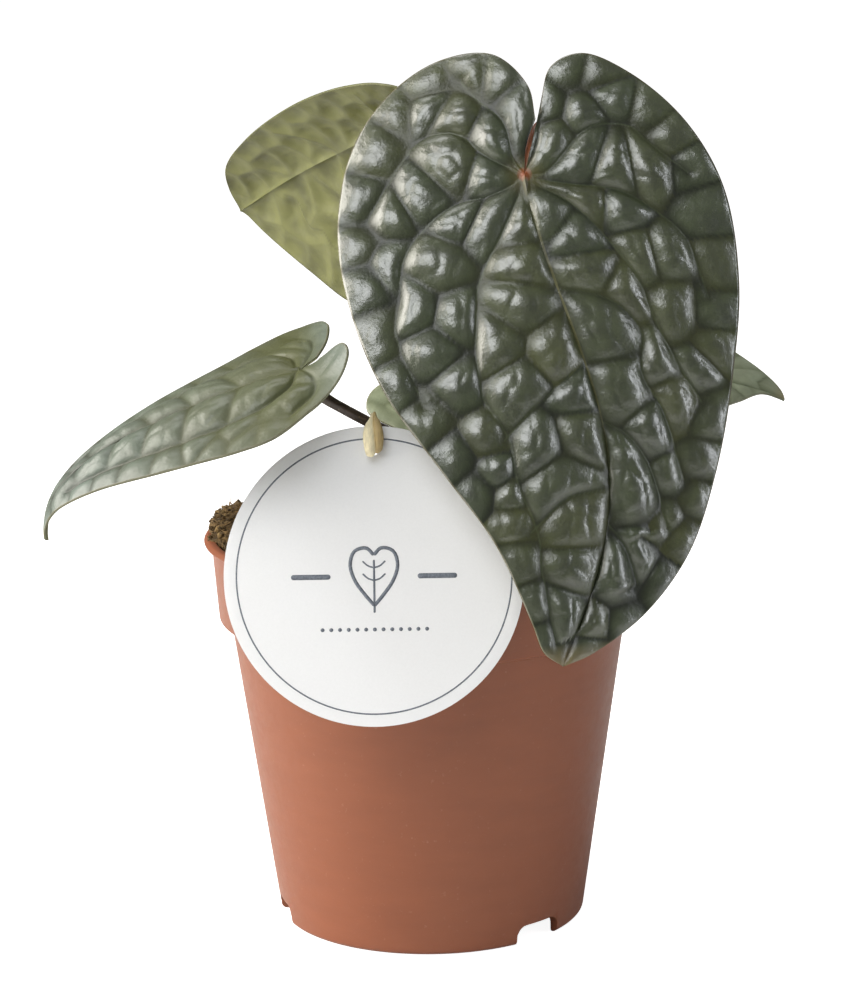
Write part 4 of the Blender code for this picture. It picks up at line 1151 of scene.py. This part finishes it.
def make_tag(settings):
    """The card: nested circles whose centre slides from the hole to the middle, on both faces."""
    radius = settings.radius / MM
    way = full_turn(145)
    share = np.linspace(0.0, 1.0, 40)[:, None]
    grown = TAG_HOLE_RADIUS + (radius - TAG_HOLE_RADIUS) * share
    x = grown * np.cos(way)
    y = grown * np.sin(way) + (radius - TAG_HOLE_INSET) * (1.0 - share)
    soft = np.where((share < 0.003) | (share > 0.997), 0.1, 0.0)
    front, back = on_card(x, y, CARD_FACE - soft), on_card(x, y, soft - CARD_FACE)
    for grid in (front, back):
        grid[:, -1] = grid[:, 0]
    hole_edge, outer_edge = (np.stack([back[row], front[row]]) for row in (0, -1))
    patches = [lattice(front), lattice(back, True), lattice(hole_edge), lattice(outer_edge, True)]
    card = shell("card_tag", patches, [card_stock(settings.card)], "tag", 50.0)

    circle = full_turn(181)[:-1]
    ring = settings.ring_radius / MM * np.stack([np.cos(circle), np.sin(circle)], axis=1)
    lines = [inked(ring, 0.38, True)]
    # A heart-shaped leaf with its veins, a dash on either side and a row of dots below.
    for hand in (-1.0, 1.0):
        half_heart = [(0.0, 5.4), (hand * 1.9, 7.2), (hand * 4.9, 6.4), (hand * 6.0, 3.0),
                      (hand * 4.9, -0.9), (hand * 2.5, -4.4), (0.0, -7.4)]
        lines.append(inked(smooth_line(half_heart, 8), 0.9))
        for rise in (2.2, -1.0):
            vein = [(0.0, rise), (hand * 1.5, rise + 0.5), (hand * 2.9, rise + 1.7)]
            lines.append(inked(smooth_line(vein, 6), 0.42))
        lines.append(inked(np.array([(hand * 11.0, 0.0), (hand * 21.0, 0.0)]), 1.3))
    lines.append(inked(np.array([(0.0, 4.2), (0.0, -9.2)]), 0.55))
    for step in range(-6, 7):
        dot = [(2.2 * step - 0.5, -13.4), (2.2 * step + 0.5, -13.4)]
        lines.append(inked(np.array(dot), 0.98))
    shell("card_print", lines, [printing_ink(settings.ink)], None)
    return card


def card_stock(colour):
    """Uncoated white card, die-cut."""
    # Matt, with the faint tooth of paper. Its real fibres are 0.03 mm thick, and are drawn much
    # coarser so that they show.
    made, tree, place = new_finish("uncoated_card")
    fibre = add(tree, "TexNoise", {"Vector": place, "Scale": PER_MM / 0.6, "Detail": 5.0,
                                   "Roughness": 0.7})
    shade = washed(tree, colour, (fibre, 0.3, 0.7, 1.0, 0.0, shaded(colour, 0.965)))
    bump = add(tree, "Bump", {"Height": fibre, "Strength": 0.3, "Distance": 0.00005})
    return finished(made, base_color=shade, roughness=0.8, specular_ior_level=0.3, normal=bump)


def printing_ink(colour):
    """Grey ink, printed on card."""
    # Thin and matt, a little uneven where the card's tooth shows through.
    made, tree, place = new_finish("printed_grey_ink")
    tooth = add(tree, "TexNoise", {"Vector": place, "Scale": PER_MM / 0.5, "Detail": 4.0})
    shade = washed(tree, colour, (tooth, 0.4, 0.7, 0.0, 1.0, shaded(colour, 1.5, 0.02)))
    return finished(made, base_color=shade, roughness=0.7)


TIE_X = -13.1
TIE_ROUTE = [(-52.4, 139.9, 1.8), (-55.0, 140.0, 2.3), (-55.6, 143.0, 2.7), (-54.2, 145.8, 2.2),
             (-50.8, 147.2, 1.1), (-46.8, 147.6, 0.7), (-43.9, 145.6, 0.7), (-44.2, 142.0, 0.7),
             (-47.4, 139.9, 0.7)]        # y, z and the tie's half width


def make_tie(settings):
    """The tie: two strands side by side round the loop, swaying a little, with fine ridges."""
    route = smooth_line(TIE_ROUTE[-3:] + TIE_ROUTE + TIE_ROUTE[:3], 16)[3 * 16:-3 * 16]
    middle = np.stack([np.full(len(route), TIE_X), route[:, 0], route[:, 1]], axis=1)
    ahead = np.roll(middle, -1, axis=0) - np.roll(middle, 1, axis=0)
    ahead[0] = ahead[-1] = middle[1] - middle[-2]
    inward = np.cross(unit(ahead), RIGHT)
    share = full_turn(len(route))
    way = full_turn(19)[None, :]
    offset = 0.42 * route[:, 2]
    girth = 0.58 * route[:, 2][:, None] * (1.0 + 0.04 * np.cos(6.0 * way + 2.0 * share[:, None]))
    patches = []
    for strand in (0, 1):
        turn = math.pi * (strand + 1.0) + 0.5 * np.sin(share + 1.0)
        centre = (middle + RIGHT * (offset * np.cos(turn))[:, None]
                  + inward * (offset * np.sin(turn))[:, None])
        grid = hoops(centre, RIGHT, inward, girth, way)
        grid[-1], grid[:, -1] = grid[0], grid[:, 0]
        patches.append(lattice(grid, False, strand))
    # The right strand, turned away from the lights, is a darker copy of the cream raffia: painted
    # shade.
    finishes = [raffia("cream_raffia", settings.cream), raffia("brown_raffia", settings.brown)]
    return shell("fibre_tie", patches, finishes, "tag_tie")


def raffia(name, colour):
    """Raffia palm fibre, split and twisted."""
    # Dry and slightly glossy along the fibre, with fine lengthwise streaks. The real streaks are
    # 0.1 mm apart, and are drawn coarser so that they show.
    made, tree, place = new_finish(name)
    long = add(tree, "Mapping", {"Vector": place, "Scale": (1.0, 0.3, 0.3)})
    streak = add(tree, "TexNoise", {"Vector": long, "Scale": PER_MM / 0.5, "Detail": 4.0})
    shade = washed(tree, colour, (streak, 0.35, 0.6, 0.45, 0.0, shaded(colour, 0.6)))
    bump = add(tree, "Bump", {"Height": streak, "Strength": 0.6, "Distance": 0.0001})
    return finished(made, base_color=shade, roughness=0.6, normal=bump)


# The stage

FLOOR_HALF = 8.0             # metres, as is everything else on the stage
FLOOR_DROP = 0.0002
LIGHTS_AIM = (0.010, -0.035, 0.150)
CAMERA_AIM = (0.0007, 0.0, 0.1164)
LIGHT_DISTANCE = 0.9
WHITE = (1.0, 1.0, 1.0)


def pale_paper(colour, glow):
    """Background paper, rolled out under the pot."""
    # Matt, and lit from behind for the camera alone, so that it doesn't light the pot.
    made, tree, place = new_finish("pale_paper_floor")
    paper = add(tree, "TexNoise", {"Vector": place, "Scale": PER_MM / 40.0})
    shade = washed(tree, colour, (paper, 0.3, 0.7, 1.0, 0.0, shaded(colour, 0.985)))
    seen = add(tree, "LightPath", None, "Is Camera Ray")
    shining = add(tree, "Math", {0: seen, 1: glow}, operation="MULTIPLY")
    return finished(made, base_color=shade, roughness=0.9, specular_ior_level=0.1,
                    emission_color=WHITE, emission_strength=shining)


def make_stage(settings):
    """A plain pale floor, soft lights round it and the camera at the photograph's angle."""
    line = np.linspace(-FLOOR_HALF, FLOOR_HALF, 9)
    x, y = np.meshgrid(line, line, indexing="ij")
    patch = lattice(np.stack([x, y, np.full_like(x, -FLOOR_DROP)], axis=-1))
    mesh = bpy.data.meshes.new("floor")
    mesh.from_pydata(patch["points"], [], patch["faces"])
    mesh.materials.append(pale_paper(settings.floor, settings.floor_glow))
    placed("floor", mesh)

    # The studio is brighter on the left than on the right.
    world = bpy.data.worlds.new("studio_white")
    world.use_nodes = True
    tree = world.node_tree
    way = add(tree, "SeparateXYZ", {0: add(tree, "TexCoord", None, "Generated")})
    strength = add(tree, "MapRange", {0: way, 1: -0.9, 2: 0.9, 3: settings.ambient * 1.25,
                                      4: settings.ambient * 0.75})
    fill(tree, tree.nodes["Background"], {"Color": WHITE, "Strength": strength})
    bpy.context.scene.world = world

    # Each light: degrees to the left of the camera, height angle, width, height, brightness, tint.
    for name, turn, rise, wide, high, bright, tint in (
            ("softbox_left", 84.0, 24.0, 0.90, 0.90, settings.key_light, "#fffaf2"),
            ("softbox_front", 22.0, 43.0, 0.44, 0.50, settings.front_light, "#fbfdff"),
            ("softbox_top", 150.0, 70.0, 0.55, 0.40, settings.top_light, "#ffffff"),
            ("strip_right", -72.0, 14.0, 0.10, 0.75, settings.strip_light, "#f6f9ff")):
        lamp = bpy.data.lights.new(name, "AREA")
        lamp.shape, lamp.size, lamp.size_y = "RECTANGLE", wide, high
        lamp.energy, lamp.color = bright * math.pi * wide * high, linear(tint)
        turn, rise = math.radians(turn), math.radians(rise)
        out = Vector((-math.sin(turn) * math.cos(rise), -math.cos(turn) * math.cos(rise),
                      math.sin(rise)))
        made = placed(name, lamp)
        made.location = Vector(LIGHTS_AIM) + out * LIGHT_DISTANCE
        made.rotation_euler = out.to_track_quat("Z", "Y").to_euler()

    lens = bpy.data.cameras.new("camera")
    lens.lens, lens.sensor_width, lens.sensor_fit = settings.lens, 36.0, "AUTO"
    lens.clip_end = 20.0
    tilt = settings.camera_elevation
    back = Vector((0.0, -math.cos(tilt), math.sin(tilt)))
    look = back.to_track_quat("Z", "Y").to_matrix().to_4x4()
    eye = placed("camera", lens)
    eye.matrix_world = (Matrix.Translation(Vector(CAMERA_AIM) + back * settings.camera_distance)
                        @ look @ Matrix.Rotation(-settings.camera_roll, 4, "Z"))
    bpy.context.scene.camera = eye
    bpy.context.scene.view_settings.view_transform = "Standard"


# Settings

def length_setting(name, description, default, low, high):
    """A length in metres."""
    return FloatProperty(name=name, description=description, default=default, min=low, max=high,
                         unit="LENGTH", subtype="DISTANCE", precision=4)


def number_setting(name, description, default, low, high, subtype="NONE"):
    """A plain number, or a share where the subtype says so."""
    return FloatProperty(name=name, description=description, default=default, min=low, max=high,
                         subtype=subtype)


def angle_setting(name, description, degrees):
    """An angle, shown in degrees."""
    return FloatProperty(name=name, description=description, default=math.radians(degrees),
                         subtype="ANGLE", unit="ROTATION")


def count_setting(name, description, default, low, high):
    """A whole number."""
    return IntProperty(name=name, description=description, default=default, min=low, max=high)


def colour_setting(name, description, code):
    """A colour, by its sRGB hex code."""
    return FloatVectorProperty(name=name, description=description, default=linear(code), size=3,
                               min=0.0, max=1.0, subtype="COLOR")


class ANTHURIUM_PG_pot(bpy.types.PropertyGroup):
    lip_radius: length_setting("Lip radius", "Outer radius of the pot's lip",
                               float(POT_BOX[1][0]), 0.03, 0.2)
    height: length_setting("Height", "Height of the pot", float(POT_BOX[1][2]), 0.05, 0.3)
    sides: count_setting("Sides", "Facets round the pot", 192, 48, 360)
    colour: colour_setting("Plastic", "Colour of the pressed plastic", "#874c2f")


class ANTHURIUM_PG_soil(bpy.types.PropertyGroup):
    crumbs: count_setting("Crumbs", "Loose crumbs on the soil", 1500, 0, 5000)
    fibres: count_setting("Fibres", "Coir fibres on the soil", 420, 1, 2000)
    dark: colour_setting("Moist soil", "Colour of the moist soil", "#5a4526")
    dry: colour_setting("Dry crumbs", "Colour of the dry crumbs", "#8f7548")


class ANTHURIUM_PG_blades(bpy.types.PropertyGroup):
    thickness: length_setting("Thickness", "Thickness of a blade", 0.0006, 0.0003, 0.002)
    relief: number_setting("Relief", "Height of the blisters, as a share of the measured one",
                           1.0, 0.0, 1.5, "FACTOR")
    cell_scale: number_setting("Blister size", "Size of the blisters, as a share",
                               1.0, 0.6, 1.6, "FACTOR")


# Each blade's three colours join the settings above.
for which, leaf in LEAVES.items():
    for (part, what), code in zip(BLADE_PARTS.items(), leaf["colours"]):
        ANTHURIUM_PG_blades.__annotations__[f"{which}_{part}"] = colour_setting(
            f"{which.title()} blade's {what}", f"Colour of the {which} blade's {what}", code)


class ANTHURIUM_PG_stalks(bpy.types.PropertyGroup):
    foot_radius: length_setting("Foot radius", "Radius of a stalk at the crown",
                                0.0017, 0.0005, 0.005)
    top_radius: length_setting("Top radius", "Radius of a stalk at the blade",
                               0.0013, 0.0005, 0.005)
    dark: colour_setting("Dark stalk", "Skin of the darker stalks", "#33271c")
    red: colour_setting("Red stalk", "Skin of the front stalk", "#6a3419")


class ANTHURIUM_PG_tag(bpy.types.PropertyGroup):
    radius: length_setting("Radius", "Radius of the card", 0.038, 0.01, 0.08)
    ring_radius: length_setting("Ring radius", "Radius of the printed ring", 0.0348, 0.005, 0.08)
    card: colour_setting("Card", "Colour of the card", "#e3e4e5")
    ink: colour_setting("Ink", "Colour of the printed lines", "#5d636c")
    cream: colour_setting("Light strand", "The tie's lighter strand", "#f2e6bf")
    # The dark strand's colour is painted shade on the tie's right side.
    brown: colour_setting("Dark strand", "The tie's darker strand", "#b29c6c")


class ANTHURIUM_PG_stage(bpy.types.PropertyGroup):
    floor: colour_setting("Floor", "Colour of the floor", "#e4e4e4")
    floor_glow: number_setting("Floor glow", "How much brighter the lit background paper looks",
                               0.92, 0.0, 2.0)
    ambient: number_setting("Ambient", "Strength of the light from all sides", 0.16, 0.0, 5.0)
    key_light: number_setting("Left softbox", "Brightness of the large left softbox",
                              6.8, 0.0, 50.0)
    front_light: number_setting("Front softbox", "Brightness of the softbox before and above",
                                5.2, 0.0, 50.0)
    top_light: number_setting("Top softbox", "Brightness of the softbox above and behind",
                              3.0, 0.0, 50.0)
    strip_light: number_setting("Right strip", "Brightness of the narrow right light",
                                10.0, 0.0, 50.0)
    lens: number_setting("Focal length", "Focal length in millimetres on a 36 mm sensor",
                         128.05, 10.0, 500.0)
    camera_distance: length_setting("Distance", "From the camera to the point it looks at",
                                    0.941, 0.2, 5.0)
    camera_elevation: angle_setting("Elevation", "How far the camera looks down", 12.8)
    camera_roll: angle_setting("Roll", "How far the camera leans to its right", 0.85)


class ANTHURIUM_PG_settings(bpy.types.PropertyGroup):
    pot: PointerProperty(type=ANTHURIUM_PG_pot)
    soil: PointerProperty(type=ANTHURIUM_PG_soil)
    blades: PointerProperty(type=ANTHURIUM_PG_blades)
    stalks: PointerProperty(type=ANTHURIUM_PG_stalks)
    tag: PointerProperty(type=ANTHURIUM_PG_tag)
    stage: PointerProperty(type=ANTHURIUM_PG_stage)


# Operators and panel

class ANTHURIUM_OT_pot(bpy.types.Operator):
    """Make the nursery pot"""
    bl_idname = "anthurium.pot"
    bl_label = "Pot"

    def execute(self, context):
        make_pot(context.scene.anthurium.pot)
        return {"FINISHED"}


class ANTHURIUM_OT_soil(bpy.types.Operator):
    """Make the soil with its crumbs and fibres"""
    bl_idname = "anthurium.soil"
    bl_label = "Soil"

    def execute(self, context):
        make_soil(context.scene.anthurium.soil)
        return {"FINISHED"}


class ANTHURIUM_OT_stalks(bpy.types.Operator):
    """Make the crown and the four leaf stalks"""
    bl_idname = "anthurium.stalks"
    bl_label = "Crown and stalks"

    def execute(self, context):
        make_crown()
        for which in STALKS:
            make_stalk(which, context.scene.anthurium.stalks)
        return {"FINISHED"}


class ANTHURIUM_OT_blades(bpy.types.Operator):
    """Make the four quilted blades"""
    bl_idname = "anthurium.blades"
    bl_label = "Blades"

    def execute(self, context):
        for which in LEAVES:
            make_blade(which, context.scene.anthurium.blades)
        return {"FINISHED"}


class ANTHURIUM_OT_tag(bpy.types.Operator):
    """Make the round card with its printed lines and its tie"""
    bl_idname = "anthurium.tag"
    bl_label = "Tag and tie"

    def execute(self, context):
        make_tag(context.scene.anthurium.tag)
        make_tie(context.scene.anthurium.tag)
        return {"FINISHED"}


class ANTHURIUM_OT_stage(bpy.types.Operator):
    """Make the floor, the lights and the camera"""
    bl_idname = "anthurium.stage"
    bl_label = "Stage"

    def execute(self, context):
        make_stage(context.scene.anthurium.stage)
        return {"FINISHED"}


OPERATORS = (ANTHURIUM_OT_pot, ANTHURIUM_OT_soil, ANTHURIUM_OT_stalks, ANTHURIUM_OT_blades,
             ANTHURIUM_OT_tag, ANTHURIUM_OT_stage)


class ANTHURIUM_PT_panel(bpy.types.Panel):
    """Buttons and settings for the potted anthurium"""
    bl_label = "Potted Anthurium"
    bl_idname = "ANTHURIUM_PT_panel"
    bl_space_type = "VIEW_3D"
    bl_region_type = "UI"
    bl_category = "Anthurium"

    def draw(self, context):
        for operator in OPERATORS:
            self.layout.operator(operator.bl_idname)
        for part in ("pot", "soil", "blades", "stalks", "tag", "stage"):
            group = getattr(context.scene.anthurium, part)
            box = self.layout.box()
            box.label(text=part.title())
            for name in group.__annotations__:
                box.prop(group, name)


CLASSES = (ANTHURIUM_PG_pot, ANTHURIUM_PG_soil, ANTHURIUM_PG_blades, ANTHURIUM_PG_stalks,
           ANTHURIUM_PG_tag, ANTHURIUM_PG_stage, ANTHURIUM_PG_settings, *OPERATORS,
           ANTHURIUM_PT_panel)


def register():
    """Registers the classes, and hangs the settings on the scene."""
    for each in CLASSES:
        bpy.utils.register_class(each)
    bpy.types.Scene.anthurium = PointerProperty(type=ANTHURIUM_PG_settings)


def unregister():
    """Takes both away again."""
    del bpy.types.Scene.anthurium
    for each in reversed(CLASSES):
        bpy.utils.unregister_class(each)


def main():
    """Makes every piece and the stage."""
    register()
    bpy.ops.anthurium.pot()
    bpy.ops.anthurium.soil()
    bpy.ops.anthurium.stalks()
    bpy.ops.anthurium.blades()
    bpy.ops.anthurium.tag()
    bpy.ops.anthurium.stage()


if __name__ == "__main__":
    main()
